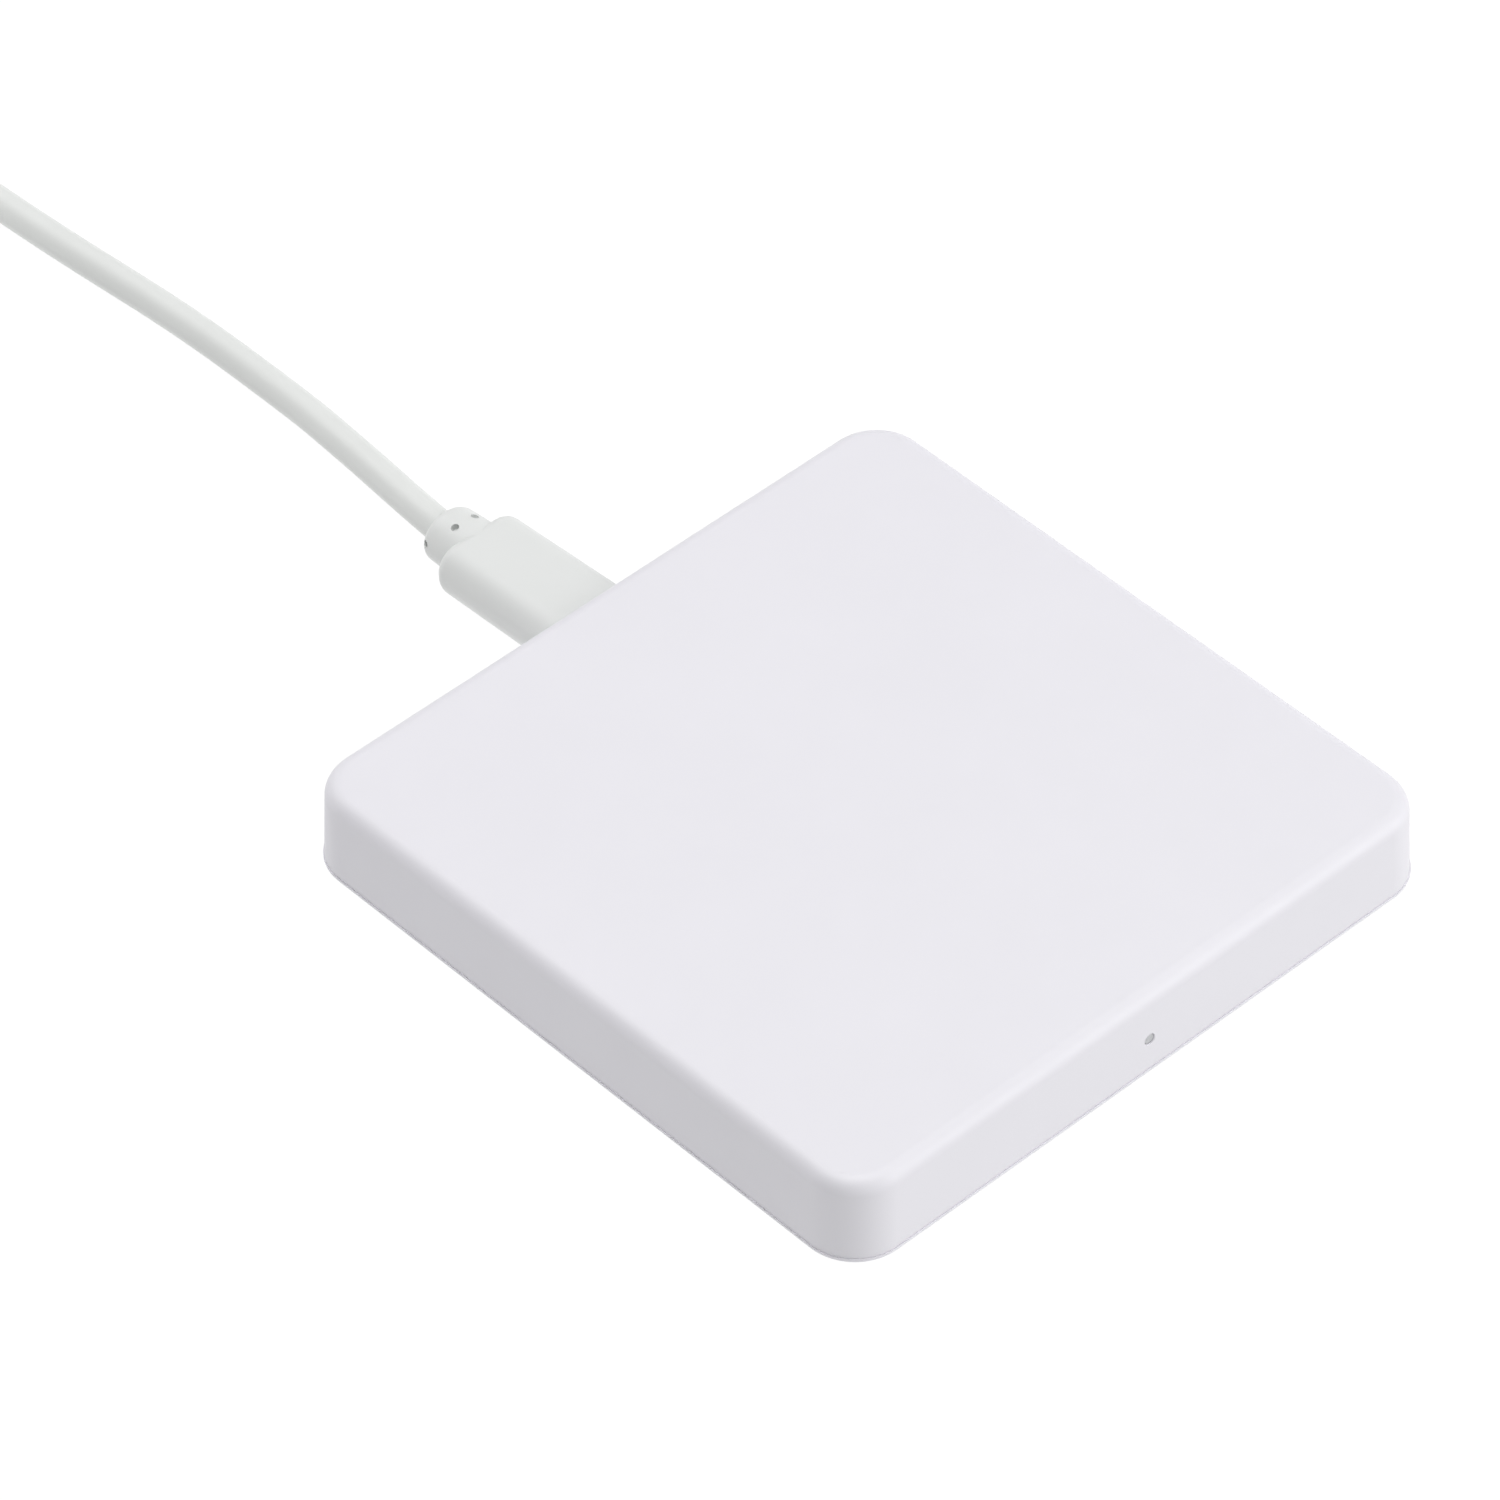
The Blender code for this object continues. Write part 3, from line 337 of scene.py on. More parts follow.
# A sintered or pressed surface: flecks of another shade.
def speckled(name, colour, fleck, roughness, size, share):
    material = newMaterial(name, colour, roughness)
    coords = objectCoords(material)
    cells = addNode(material, "ShaderNodeTexVoronoi", {"Scale": 1 / size})
    join(material, coords, "Vector", cells, "Vector")
    ramp = addRamp(material, [(share, fleck), (share + 0.15, colour)])
    join(material, cells, "Distance", ramp, "Fac")
    join(material, ramp, "Color", shaderOf(material), "Base Color")
    addSheenPatches(material, coords, 1 * mm, roughness - 0.06, roughness + 0.06)
    addGrain(material, coords, size, 0.006 * mm)
    return material


shades = {
    "case": (0.800, 0.790, 0.835),
    "plug": (0.770, 0.783, 0.774),
    "cable": (0.770, 0.785, 0.770),
    "foot": (0.60, 0.61, 0.62),
    "nickel": (0.57, 0.56, 0.54),
    "zinc": (0.55, 0.54, 0.52),
    "black": (0.022, 0.022, 0.024),
    "white": (0.80, 0.81, 0.82),
    "gold": (0.86, 0.62, 0.26),
    "copper": (0.66, 0.27, 0.12),
    "ferrite": (0.055, 0.055, 0.060),
    "tape": (0.84, 0.82, 0.74),
    "ceramic": (0.42, 0.30, 0.20),
    "mask": (0.018, 0.150, 0.060),
    "tie": (0.70, 0.71, 0.71),
    "tin": (0.62, 0.61, 0.59),
    "pipe": (0.80, 0.81, 0.83),
    "ledCase": (0.78, 0.78, 0.76),
    "ledWindow": (0.80, 0.62, 0.12),
}

casePlastic = mouldedPlastic("casePlastic", shades["case"], 0.46)
plugPlastic = mouldedPlastic("plugPlastic", shades["plug"], 0.42, grain=0.09 * mm, depth=0.003 * mm)
cableJacket = mouldedPlastic(
    "cableJacket", shades["cable"], 0.40, grain=0.3 * mm, depth=0.006 * mm, mottle=0.012
)
footRubber = mouldedPlastic(
    "footRubber", shades["foot"], 0.80, grain=0.10 * mm, depth=0.02 * mm, mottle=0.03
)
nickel = brushedMetal("nickel", shades["nickel"], 0.26, (1, 0.06, 1))
zincPlate = brushedMetal("zincPlate", shades["zinc"], 0.34, (1, 1, 0.1))
goldContact = brushedMetal("goldContact", shades["gold"], 0.22, (1, 0.08, 1))
blackCarrier = mouldedPlastic("blackCarrier", shades["black"], 0.45, mottle=0.1)
whiteCarrier = mouldedPlastic("whiteCarrier", shades["white"], 0.38)


# A frosted end that lets a little of the light behind it through.
def makeFrosted(name):
    material = newMaterial(name, shades["pipe"], 0.5)
    shader = shaderOf(material)
    shader.inputs["Transmission Weight"].default_value = 0.35
    shader.inputs["IOR"].default_value = 1.49
    coords = objectCoords(material)
    addMottle(material, coords, shades["pipe"], 0.3 * mm, 0.04)
    addSheenPatches(material, coords, 0.2 * mm, 0.45, 0.6)
    addGrain(material, coords, 0.06 * mm, 0.01 * mm)
    return material


# Crossing threads, from two sets of fine waves at right angles, with painted shade in the hollows between them.
def makeWoven(name, colour, pitch):
    material = newMaterial(name, colour, 0.85)
    coords = objectCoords(material)
    heights = []
    for direction in ("X", "Z"):
        wave = addNode(material, "ShaderNodeTexWave", {"Scale": 0.32 / pitch, "Distortion": 1.2, "Detail": 2})
        wave.bands_direction = direction
        join(material, coords, "Vector", wave, "Vector")
        heights.append(wave)
    weave = addNode(material, "ShaderNodeMath", operation="MULTIPLY")
    join(material, heights[0], "Fac", weave, 0)
    join(material, heights[1], "Fac", weave, 1)
    # Painted shade: the colour darkens in the hollows between the threads and lightens a little on their crowns, by
    # the same heights that drive the bump.
    ramp = addRamp(material, [(0.0, tinted(colour, 0.72)), (0.8, tinted(colour, 1.08))])
    join(material, weave, "Value", ramp, "Fac")
    shader = shaderOf(material)
    join(material, ramp, "Color", shader, "Base Color")
    addSheenPatches(material, coords, 0.5 * mm, 0.78, 0.92)
    addBump(material, weave, "Value", 0.08 * mm, 0.8)
    shader.inputs["Sheen Weight"].default_value = 0.3
    return material


# Distance from the middle of a node, along one axis, as a value to switch materials by.
def distanceAlong(material, node, axis):
    middle = middleOf(node)
    coords = addNode(material, "ShaderNodeTexCoord")
    mapping = addNode(material, "ShaderNodeMapping", {"Location": tuple(-middle)})
    join(material, coords, "Object", mapping, "Vector")
    split = addNode(material, "ShaderNodeSeparateXYZ")
    join(material, mapping, "Vector", split, "Vector")
    away = addNode(material, "ShaderNodeMath", operation="ABSOLUTE")
    join(material, split, axis, away, 0)
    return away


# A chip part: a body of one colour between two tinned ends.
def endCapped(name, node, axis, cap, colour):
    material = newMaterial(name, colour, 0.5)
    shader = shaderOf(material)
    half = sizeOf(node)["XYZ".index(axis)] / 2
    away = distanceAlong(material, node, axis)
    atEnd = addNode(material, "ShaderNodeMath", {1: half - cap}, operation="GREATER_THAN")
    join(material, away, "Value", atEnd, 0)
    coords = objectCoords(material)
    noise = addNoise(material, coords, 0.25 * mm, detail=4)
    body = addRamp(material, [(0.3, tinted(colour, 0.85)), (0.7, tinted(colour, 1.12))])
    join(material, noise, "Fac", body, "Fac")
    mix = addNode(material, "ShaderNodeMix", data_type="RGBA")
    mix.inputs[7].default_value = (*shades["tin"], 1)
    join(material, atEnd, "Value", mix, "Factor")
    material.node_tree.links.new(body.outputs["Color"], mix.inputs[6])
    material.node_tree.links.new(mix.outputs[2], shader.inputs["Base Color"])
    join(material, atEnd, "Value", shader, "Metallic")
    addSheenPatches(material, coords, 0.4 * mm, 0.35, 0.5)
    addGrain(material, coords, 0.08 * mm, 0.004 * mm)
    return material


# Resin with a small moulded dimple that marks the first pin.
def chipResin(name, node):
    colour = shades["black"]
    material = newMaterial(name, colour, 0.55)
    low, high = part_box(node)
    pin = Vector((low.x + 0.9 * mm, high.y - 0.9 * mm, high.z))
    coords = addNode(material, "ShaderNodeTexCoord")
    measure = addNode(material, "ShaderNodeVectorMath", {1: tuple(pin)}, operation="DISTANCE")
    join(material, coords, "Object", measure, 0)
    ramp = addRamp(material, [(0.0, tinted(colour, 2.6)), (0.5, colour)])
    ramp.color_ramp.interpolation = "CONSTANT"
    scale = addNode(material, "ShaderNodeMath", {1: 1 / (0.8 * mm)}, operation="MULTIPLY")
    join(material, measure, "Value", scale, 0)
    join(material, scale, "Value", ramp, "Fac")
    join(material, ramp, "Color", shaderOf(material), "Base Color")
    mapped = objectCoords(material)
    addSheenPatches(material, mapped, 0.6 * mm, 0.48, 0.62)
    addGrain(material, mapped, 0.07 * mm, 0.006 * mm)
    return material


# Green mask over copper tracks, with rows of small plated holes.
def boardMask(name):
    colour = shades["mask"]
    material = newMaterial(name, colour, 0.32)
    shader = shaderOf(material)
    coords = objectCoords(material)
    tracks = addNode(
        material, "ShaderNodeTexBrick", {"Scale": 210.0, "Mortar Size": 0.05, "Mortar Smooth": 0.1, "Bias": -0.2}
    )
    tracks.inputs["Color1"].default_value = (*tinted(colour, 1.0), 1)
    tracks.inputs["Color2"].default_value = (*tinted(colour, 1.35), 1)
    tracks.inputs["Mortar"].default_value = (*tinted(colour, 0.6), 1)
    join(material, coords, "Vector", tracks, "Vector")
    holes = addNode(material, "ShaderNodeTexVoronoi", {"Scale": 330.0, "Randomness": 0.25})
    join(material, coords, "Vector", holes, "Vector")
    plated = addNode(material, "ShaderNodeMath", {1: 0.09}, operation="LESS_THAN")
    join(material, holes, "Distance", plated, 0)
    mix = addNode(material, "ShaderNodeMix", data_type="RGBA")
    mix.inputs[7].default_value = (*shades["gold"], 1)
    join(material, plated, "Value", mix, "Factor")
    material.node_tree.links.new(tracks.outputs["Color"], mix.inputs[6])
    material.node_tree.links.new(mix.outputs[2], shader.inputs["Base Color"])
    join(material, plated, "Value", shader, "Metallic")
    addSheenPatches(material, coords, 4 * mm, 0.27, 0.37)
    addBump(material, tracks, "Fac", 0.03 * mm, 0.5)
    return material


# Many fine enamelled strands twisted together: narrow bands that run round the coil at a slant, painted darker in the
# grooves between the strands and lighter on their crowns.
def litzCopper(name):
    colour = shades["copper"]
    material = newMaterial(name, colour, 0.34, 0.9)
    coords = objectCoords(material)
    wave = addNode(
        material, "ShaderNodeTexWave", {"Scale": 900.0, "Distortion": 3.0, "Detail": 3, "Detail Scale": 2.0}
    )
    wave.bands_direction = "DIAGONAL"
    join(material, coords, "Vector", wave, "Vector")
    # Painted shade and painted highlight: darker between the strands and lighter on their crowns, by the same heights
    # that drive the bump.
    ramp = addRamp(material, [(0.1, tinted(colour, 0.55)), (0.75, tinted(colour, 1.25))])
    shader = shaderOf(material)
    join(material, wave, "Fac", ramp, "Fac")
    join(material, ramp, "Color", shader, "Base Color")
    addSheenPatches(material, coords, 0.3 * mm, 0.26, 0.42)
    addBump(material, wave, "Fac", 0.04 * mm, 0.7)
    return material


# A white body with a yellow window in the middle of its front.
def ledBody(name):
    material = newMaterial(name, shades["ledCase"], 0.4)
    away = distanceAlong(material, "status_led", "X")
    ramp = addRamp(material, [(0.45, shades["ledWindow"]), (0.5, shades["ledCase"])])
    scale = addNode(material, "ShaderNodeMath", {1: 1 / (1.0 * mm)}, operation="MULTIPLY")
    join(material, away, "Value", scale, 0)
    join(material, scale, "Value", ramp, "Fac")
    join(material, ramp, "Color", shaderOf(material), "Base Color")
    coords = objectCoords(material)
    addSheenPatches(material, coords, 0.2 * mm, 0.34, 0.46)
    addGrain(material, coords, 0.05 * mm, 0.003 * mm)
    return material


frostedPipe = makeFrosted("frostedPipe")
wovenBand = makeWoven("wovenBand", shades["tie"], 0.35 * mm)
print("stage: materials made")


plugSet = {
    "sag": math.radians(3.0),
    "faceGap": 0.4 * mm,  # to the case's wall
    "length": 18.1 * mm,
    "width": 11.4 * mm,
    "height": 6.4 * mm,
    "corner": 2.9 * mm,
    "endRound": 1.35 * mm,
    "frontRound": 0.2 * mm,
    "taper": 0.12 * mm,
    "shellRoom": 0.03 * mm,
    "seatGap": 0.015 * mm,
    "seam": 0.3 * mm,  # the frame's gap between the plug and its collar
    "socketRecess": 0.5 * mm,
}

collarSet = {
    "exit": 5.0 * mm,  # from the frame's collar root to where the cable leaves it
    "inside": 1.6 * mm,  # of the collar, within the plug's rounded end
    "length": 4.3 * mm,
    "root": 3.08 * mm,  # half its height
    "end": 2.93 * mm,
    "oval": 1.15,  # half its width, as a share of half its height
    "endRound": 1.15 * mm,
    "boreRadius": 1.84 * mm,
    "boreDepth": 3.0 * mm,
    "holeRadius": 0.45 * mm,
    "holeDepth": 0.8 * mm,
    "frontHoles": (62, 108, 242, 288),  # degrees round it
    "sideHoles": (168, 348),
    "frontRow": 1.15 * mm,
    "sideRow": 3.5 * mm,
}

cordSet = {
    "radius": 1.8 * mm,
    "length": 0.95,
    "turns": 6.5,
    "pointsPerTurn": 36,
    "innerTurn": 14.4 * mm,  # radius of the innermost turn
    "turnAround": 3.5,  # turns in, the winding starts outwards again over the turns below
    "easing": 0.1,  # of a turn, where it turns around
    "touching": 0.99,  # of a diameter: turns this close lie side by side, and closer ones on each other
    "smoothing": 6,
    "tieLift": 0.65 * mm,  # the tie's band passes under the turns
    "tieAngle": 70,
    "tieReach": 42,  # degrees either side of the tie that the turns rise over
}

# x and y from the collar's end, and the share of the way up from the table to the collar
cordRoute = [
    (0.00005, 0.0003, 0.99),
    (0.0004, 0.0036, 0.88),
    (0.0009, 0.0075, 0.71),
    (0.0014, 0.0111, 0.54),
    (0.0019, 0.0147, 0.37),
    (0.0023, 0.0184, 0.22),
    (0.0027, 0.0220, 0.10),
    (0.0029, 0.0255, 0.03),
    (0.0030, 0.0320, 0.0),
    (0.0030, 0.0390, 0.0),
    (0.0028, 0.0450, 0.0),
    (0.0024, 0.0510, 0.0),
    (0.0019, 0.0570, 0.0),
    (0.0014, 0.0640, 0.0),
    (0.0010, 0.0720, 0.0),
    (0.0007, 0.0810, 0.0),
]
# the same from the other plug's collar
tailRoute = [
    (0.0, 0.0003, 1.0),
    (0.0001, 0.0040, 0.90),
    (0.0005, 0.0080, 0.80),
    (0.0008, 0.0108, 0.82),
]

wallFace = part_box("usb_socket_shell")[1].y + plugSet["socketRecess"]
hangPoint = Vector((0, wallFace, socket.z))
sagAxis = Vector((0, math.cos(plugSet["sag"]), -math.sin(plugSet["sag"])))
collarStart = plugSet["faceGap"] + plugSet["length"] + plugSet["seam"]
cordExit = hangPoint + sagAxis * (collarStart + collarSet["exit"])
tailLow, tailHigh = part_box("usb_a_strain_relief")
tailExit = Vector(((tailLow.x + tailHigh.x) / 2, tailHigh.y, (tailLow.z + tailHigh.z) / 2))


def routePoints(route, start):
    radius = cordSet["radius"]
    return [
        Vector((start.x + x, start.y + y, radius + (start.z - radius) * share)) for x, y, share in route
    ]


# One spiral in along the table, then out again over itself, each turn at rest on those below.
def coilPoints():
    diameter = 2 * cordSet["radius"]
    perTurn = cordSet["pointsPerTurn"]
    count = round(cordSet["turns"] * perTurn)
    radii = []
    rise = []
    for i in range(count + 1):
        away = i / perTurn - cordSet["turnAround"]
        radii.append(cordSet["innerTurn"] + diameter * math.hypot(away, cordSet["easing"]))
        under = [0.0]
        for j in range(i - perTurn, -1, -perTurn):
            apart = abs(radii[i] - radii[j])
            if apart < diameter * cordSet["touching"]:
                under.append(rise[j] + math.sqrt(diameter**2 - apart**2))
        rise.append(max(under))
    for _ in range(cordSet["smoothing"]):
        eased = [(a + 2 * b + c) / 4 for a, b, c in zip(rise, rise[1:], rise[2:])]
        rise = [rise[0]] + [max(r, e) for r, e in zip(rise[1:-1], eased)] + [rise[-1]]
    points = []
    for i in range(count + 1):
        angle = 2 * math.pi * i / perTurn
        fromTie = (math.degrees(angle) - cordSet["tieAngle"] + 180) % 360 - 180
        swell = max(0.0, 1 - (fromTie / cordSet["tieReach"]) ** 2) ** 2
        height = cordSet["radius"] + rise[i] + cordSet["tieLift"] * swell
        x = ringMiddle.x + radii[i] * math.cos(angle)
        y = ringMiddle.y + radii[i] * math.sin(angle)
        points.append(Vector((x, y, height)))
    return points


def makeCord():
    first = routePoints(cordRoute, cordExit)
    coil = coilPoints()
    last = routePoints(tailRoute, tailExit)[::-1]
    drop = [
        coil[-1] + Vector((-0.3 * mm, -4.0 * mm, -0.1 * mm)),
        coil[-1] + Vector((-0.9 * mm, -7.6 * mm, -0.5 * mm)),
        coil[-1] + Vector((-1.5 * mm, -11.2 * mm, -1.3 * mm)),
    ]
    between = [(first[-1] + coil[0]) / 2]
    inCollar = [cordExit - sagAxis * 2.6 * mm, cordExit - sagAxis * 1.5 * mm, cordExit - sagAxis * 0.5 * mm]
    inTail = [tailExit - Vector((0, 0.4 * mm, 0)), tailExit - Vector((0, 1.2 * mm, 0))]
    knots = inCollar + first + between + coil + drop + last + inTail
    curve = bpy.data.curves.new("cord", "CURVE")
    curve.dimensions = "3D"
    curve.bevel_depth = cordSet["radius"]
    curve.bevel_resolution = 6
    curve.use_fill_caps = True
    curve.resolution_u = 4
    spline = curve.splines.new("NURBS")
    spline.points.add(len(knots) - 1)
    for point, place in zip(spline.points, knots):
        point.co = (*place, 1)
    spline.order_u = 4
    spline.use_endpoint_u = True
    cord = bpy.data.objects.new("powerCord", curve)
    bpy.context.scene.collection.objects.link(cord)
    finishPiece(cord, cableJacket, "cable", "cable_jacket", "cord", "cord_coil", "cord_tail")
    return cord


powerCord = makeCord()
print("stage: cord made")


# The rounded square of the case. The base's rim stands a hair proud of the cover.
caseSet = {
    "corner": 5.8 * mm,
    "cornerSteps": 24,
    "topRound": 1.7 * mm,
    "roundSteps": 12,
    "lean": 0.3 * mm,  # of each wall, over its height
    "wall": 1.4 * mm,
    "seam": 1.32 * mm,  # middle of the seam, above the table
    "seamGap": 0.006 * mm,
    "seamRound": 0.015 * mm,
    "bossRadius": 2.3 * mm,
    "bossFoot": 3.7 * mm,
    "postRadius": 1.2 * mm,
    "postFoot": 3.35 * mm,
    "postPlaces": (20 * mm, 27 * mm),
    "pilotRadius": 1.1 * mm,
    "pilotTop": 7.6 * mm,
    "screwPlace": 33.8 * mm,
    "portGap": 0.30 * mm,  # round the socket
    "portRound": 0.15 * mm,
    "lightRadius": 0.65 * mm,
    "lightHeight": 5.2 * mm,
    "lightRound": 0.07 * mm,
}
fourCorners = [(-1, -1), (1, -1), (-1, 1), (1, 1)]
screwPlaces = [(x * caseSet["screwPlace"], y * caseSet["screwPlace"]) for x, y in fourCorners]


def joinPieces(first, *others):
    deselectAll()
    for other in others:
        other.select_set(True)
    first.select_set(True)
    bpy.context.view_layer.objects.active = first
    bpy.ops.object.join()
    return first


def addRods(name, places, radius, low, high, sides=32):
    middle, depth = (low + high) / 2, high - low
    return joinPieces(*[addRod(name, (x, y, middle), radius, depth, sides) for x, y in places])


def isUpright(a, b):
    return abs(a.z - b.z) > 0.3 * mm and math.hypot(a.x - b.x, a.y - b.y) < abs(a.z - b.z) / 4


def isLevelAt(height):
    return lambda a, b: abs(a.z - height) < near and abs(b.z - height) < near


def alongY(a, b):
    return abs(a.y - b.y) > 0.4 * mm and math.hypot(a.x - b.x, a.z - b.z) < 0.4 * mm


def makeCover():
    half = caseHigh.x
    top = caseHigh.z
    bottom = caseSet["seam"] + caseSet["seamGap"] / 2
    lean = (half - caseSet["lean"]) / half
    cover = addBlock("caseCover", (-half, -half, bottom), (half, half, top))
    editFaces(cover, lambda middle, normal: normal.z > 0.9)
    bpy.ops.transform.resize(value=(lean, lean, 1))
    endEdit()
    roundEdges(cover, caseSet["corner"], caseSet["cornerSteps"], isUpright)
    roundEdges(cover, caseSet["topRound"], caseSet["roundSteps"], isLevelAt(top))
    roundEdges(cover, caseSet["seamRound"], 3, isLevelAt(bottom))
    editFaces(cover, lambda middle, normal: normal.z < -0.99 and abs(middle.z - bottom) < near)
    bpy.ops.mesh.inset(thickness=caseSet["wall"] - caseSet["seamRound"])
    extrude(0, 0, top - caseSet["wall"] - bottom)
    bpy.ops.transform.resize(value=(lean, lean, 1))
    endEdit()
    inRoof = top - caseSet["wall"] / 2
    postX, postY = caseSet["postPlaces"]
    posts = [(x * postX, y * postY) for x, y in fourCorners]
    bosses = addRods("bosses", screwPlaces, caseSet["bossRadius"], caseSet["bossFoot"], inRoof)
    combine(cover, bosses, "UNION")
    combine(cover, addRods("posts", posts, caseSet["postRadius"], caseSet["postFoot"], inRoof), "UNION")
    low, high = caseSet["bossFoot"] - 1 * mm, caseSet["pilotTop"]
    combine(cover, addRods("pilots", screwPlaces, caseSet["pilotRadius"], low, high))
    cutPort(cover)
    cutLightHole(cover)
    return finishPiece(cover, casePlastic, "pad", "case_plastic", "top_cover")


# The opening round the socket, with its outer edge broken.
def cutPort(cover):
    size = sizeOf("usb_socket_shell")
    gap, lip = caseSet["portGap"], caseSet["portRound"]
    halfWide, halfHigh = size.x / 2 + gap, size.z / 2 + gap
    inside = wallFace - 2 * caseSet["wall"]
    cutter = addBlock(
        "portCutter",
        (socket.x - halfWide, inside, socket.z - halfHigh),
        (socket.x + halfWide, wallFace - lip, socket.z + halfHigh),
    )
    roundEdges(cutter, 0.99 * halfHigh, 16, alongY)
    editFaces(cutter, lambda middle, normal: normal.y > 0.9)
    extrude(0, lip, 0)
    bpy.ops.transform.resize(value=(1 + lip / halfWide, 1, 1 + lip / halfHigh))
    extrude(0, caseSet["wall"], 0)
    endEdit()
    combine(cover, cutter)


def cutLightHole(cover):
    radius, lip = caseSet["lightRadius"], caseSet["lightRound"]
    inset = 0.12 * mm  # from the cover's widest line in to the leaning wall at this height
    outline = [(radius, 0), (radius, 2 * mm - lip), (radius + lip, 2 * mm), (radius + lip, 3 * mm)]
    cutter = latheUp("lightCutter", outline, 48)
    putInPlace(cutter, (0, -caseHigh.x + inset + 2 * mm, caseSet["lightHeight"]), upToFront)
    combine(cover, cutter)


baseSet = {
    "rimRound": 0.5 * mm,
    "lift": 0.2 * mm,  # of its underside
    "roundSteps": 8,
    "floor": 1.0 * mm,
    "lipTop": 3.3 * mm,
    "lipWall": 0.9 * mm,
    "lipGap": 0.3 * mm,  # to the cover's wall
    "bossRadius": 2.9 * mm,
    "footSeatRadius": 4.15 * mm,
    "footSeatTop": 1.3 * mm,
    "headRadius": 1.95 * mm,
    "headTop": 2.35 * mm,
    "shankRadius": 1.15 * mm,
    "portHalf": 5.1 * mm,
    "portFoot": 2.9 * mm,
}


def makeBase():
    half, bottom = baseHigh.x, baseLow.z + baseSet["lift"]
    rim = caseSet["seam"] - caseSet["seamGap"] / 2
    floorTop = baseLow.z + baseSet["floor"]
    base = addBlock("caseBase", (-half, -half, bottom), (half, half, rim))
    roundEdges(base, caseSet["corner"] + half - caseHigh.x, caseSet["cornerSteps"], isUpright)
    roundEdges(base, baseSet["rimRound"], baseSet["roundSteps"], isLevelAt(bottom))
    roundEdges(base, caseSet["seamRound"], 3, isLevelAt(rim))
    editFaces(base, lambda middle, normal: normal.z > 0.99 and abs(middle.z - rim) < near)
    stepIn = half - caseHigh.x + caseSet["wall"] + baseSet["lipGap"] - caseSet["seamRound"]
    bpy.ops.mesh.inset(thickness=stepIn)
    extrude(0, 0, baseSet["lipTop"] - rim)
    bpy.ops.mesh.inset(thickness=baseSet["lipWall"])
    extrude(0, 0, floorTop - baseSet["lipTop"])
    endEdit()
    inFloor = floorTop - baseSet["floor"] / 2
    combine(base, addRods("bosses", screwPlaces, baseSet["bossRadius"], inFloor, baseHigh.z), "UNION")
    below = bottom - 1 * mm
    combine(base, addRods("seats", screwPlaces, baseSet["footSeatRadius"], below, baseSet["footSeatTop"], 64))
    combine(base, addRods("heads", screwPlaces, baseSet["headRadius"], below, baseSet["headTop"]))
    combine(base, addRods("shanks", screwPlaces, baseSet["shankRadius"], below, baseHigh.z + 1 * mm))
    reach = caseHigh.x - caseSet["wall"]
    notch = addBlock(
        "notch",
        (-baseSet["portHalf"], reach - 3 * mm, baseSet["portFoot"]),
        (baseSet["portHalf"], reach + 1 * mm, baseSet["lipTop"] + 1 * mm),
    )
    combine(base, notch)
    return finishPiece(base, casePlastic, "pad", "case_plastic", "base_cover")


footSet = {
    "outline": [  # radius and height, mm
        (3.45, 0.0),
        (3.70, 0.02),
        (3.86, 0.09),
        (3.96, 0.20),
        (4.0, 0.36),
        (4.0, 1.14),
        (3.94, 1.2),
    ],
    "dishInset": 0.9 * mm,
    "dishDepth": 0.08 * mm,
}


def makeFeet():
    outline = [(radius * mm, height * mm) for radius, height in footSet["outline"]]
    pattern = latheUp("footPattern", outline, 72)
    editFaces(pattern, lambda middle, normal: normal.z < -0.9 and middle.z < 0.001 * mm)
    bpy.ops.mesh.inset(thickness=footSet["dishInset"])
    bpy.ops.mesh.inset(thickness=footSet["dishDepth"], depth=-footSet["dishDepth"])
    endEdit()
    for x, y in fourCorners:
        name = ("front" if y < 0 else "back") + ("_left" if x < 0 else "_right")
        selectOnly(pattern)
        bpy.ops.object.duplicate()
        foot = bpy.context.object
        foot.name = "rubberFoot_" + name
        middle = middleOf("foot_" + name)
        putInPlace(foot, (middle.x, middle.y, 0))
        finishPiece(foot, footRubber, "pad", "foot_rubber", "foot_" + name)
    bpy.data.objects.remove(pattern, do_unlink=True)


makeCover()
makeBase()
makeFeet()
print("stage: case made")


# The light pipe: a foot over the LED, and a rod to the hole in the front wall with a frosted end.
pipeSet = {
    "edge": 0.25 * mm,
    "rodRadius": 0.62 * mm,
    "endRound": 0.05 * mm,
    "recess": 0.14 * mm,  # from the wall's face in to the rod's end
}


def makeLightPipe():
    low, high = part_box("light_pipe")
    middle = middleOf("status_led")
    blockFront = middle.y - (high.x - low.x) * 0.54
    pipe = addBlock("lightPipe", (low.x, blockFront, low.z), (high.x, high.y, high.z))
    roundEdges(pipe, pipeSet["edge"], 4, isUpright)
    rodStart = blockFront + 0.6 * mm
    reach = rodStart + wallFace - pipeSet["recess"]
    radius, endRound = pipeSet["rodRadius"], pipeSet["endRound"]
    rod = latheUp("pipeRod", [(radius, 0), (radius, reach - endRound), (radius - endRound, reach)], 40)
    putInPlace(rod, (0, rodStart, caseSet["lightHeight"]), upToFront)
    combine(pipe, rod, "UNION")
    finishPiece(pipe, frostedPipe, "pad", "clear_plastic", "light_pipe")


# The socket: a drawn steel shell, open to +Y, with a tongue inside it that carries the contacts.
socketSet = {
    "wall": 0.25 * mm,
    "oval": 0.495,
    "lip": 0.06 * mm,
    "tongueHalf": 3.3 * mm,
    "tongueThick": 0.7 * mm,
    "tongueTip": 0.12 * mm,
    "block": 1.4 * mm,
    "contacts": 8,
    "contactPitch": 0.62 * mm,
    "contactWidth": 0.28 * mm,
    "contactLength": 2.6 * mm,
    "contactProud": 0.03 * mm,
}


def isEndFace(side, place):
    return lambda middle, normal: normal.y * side > 0.9 and abs(middle.y - place) < 0.02 * mm


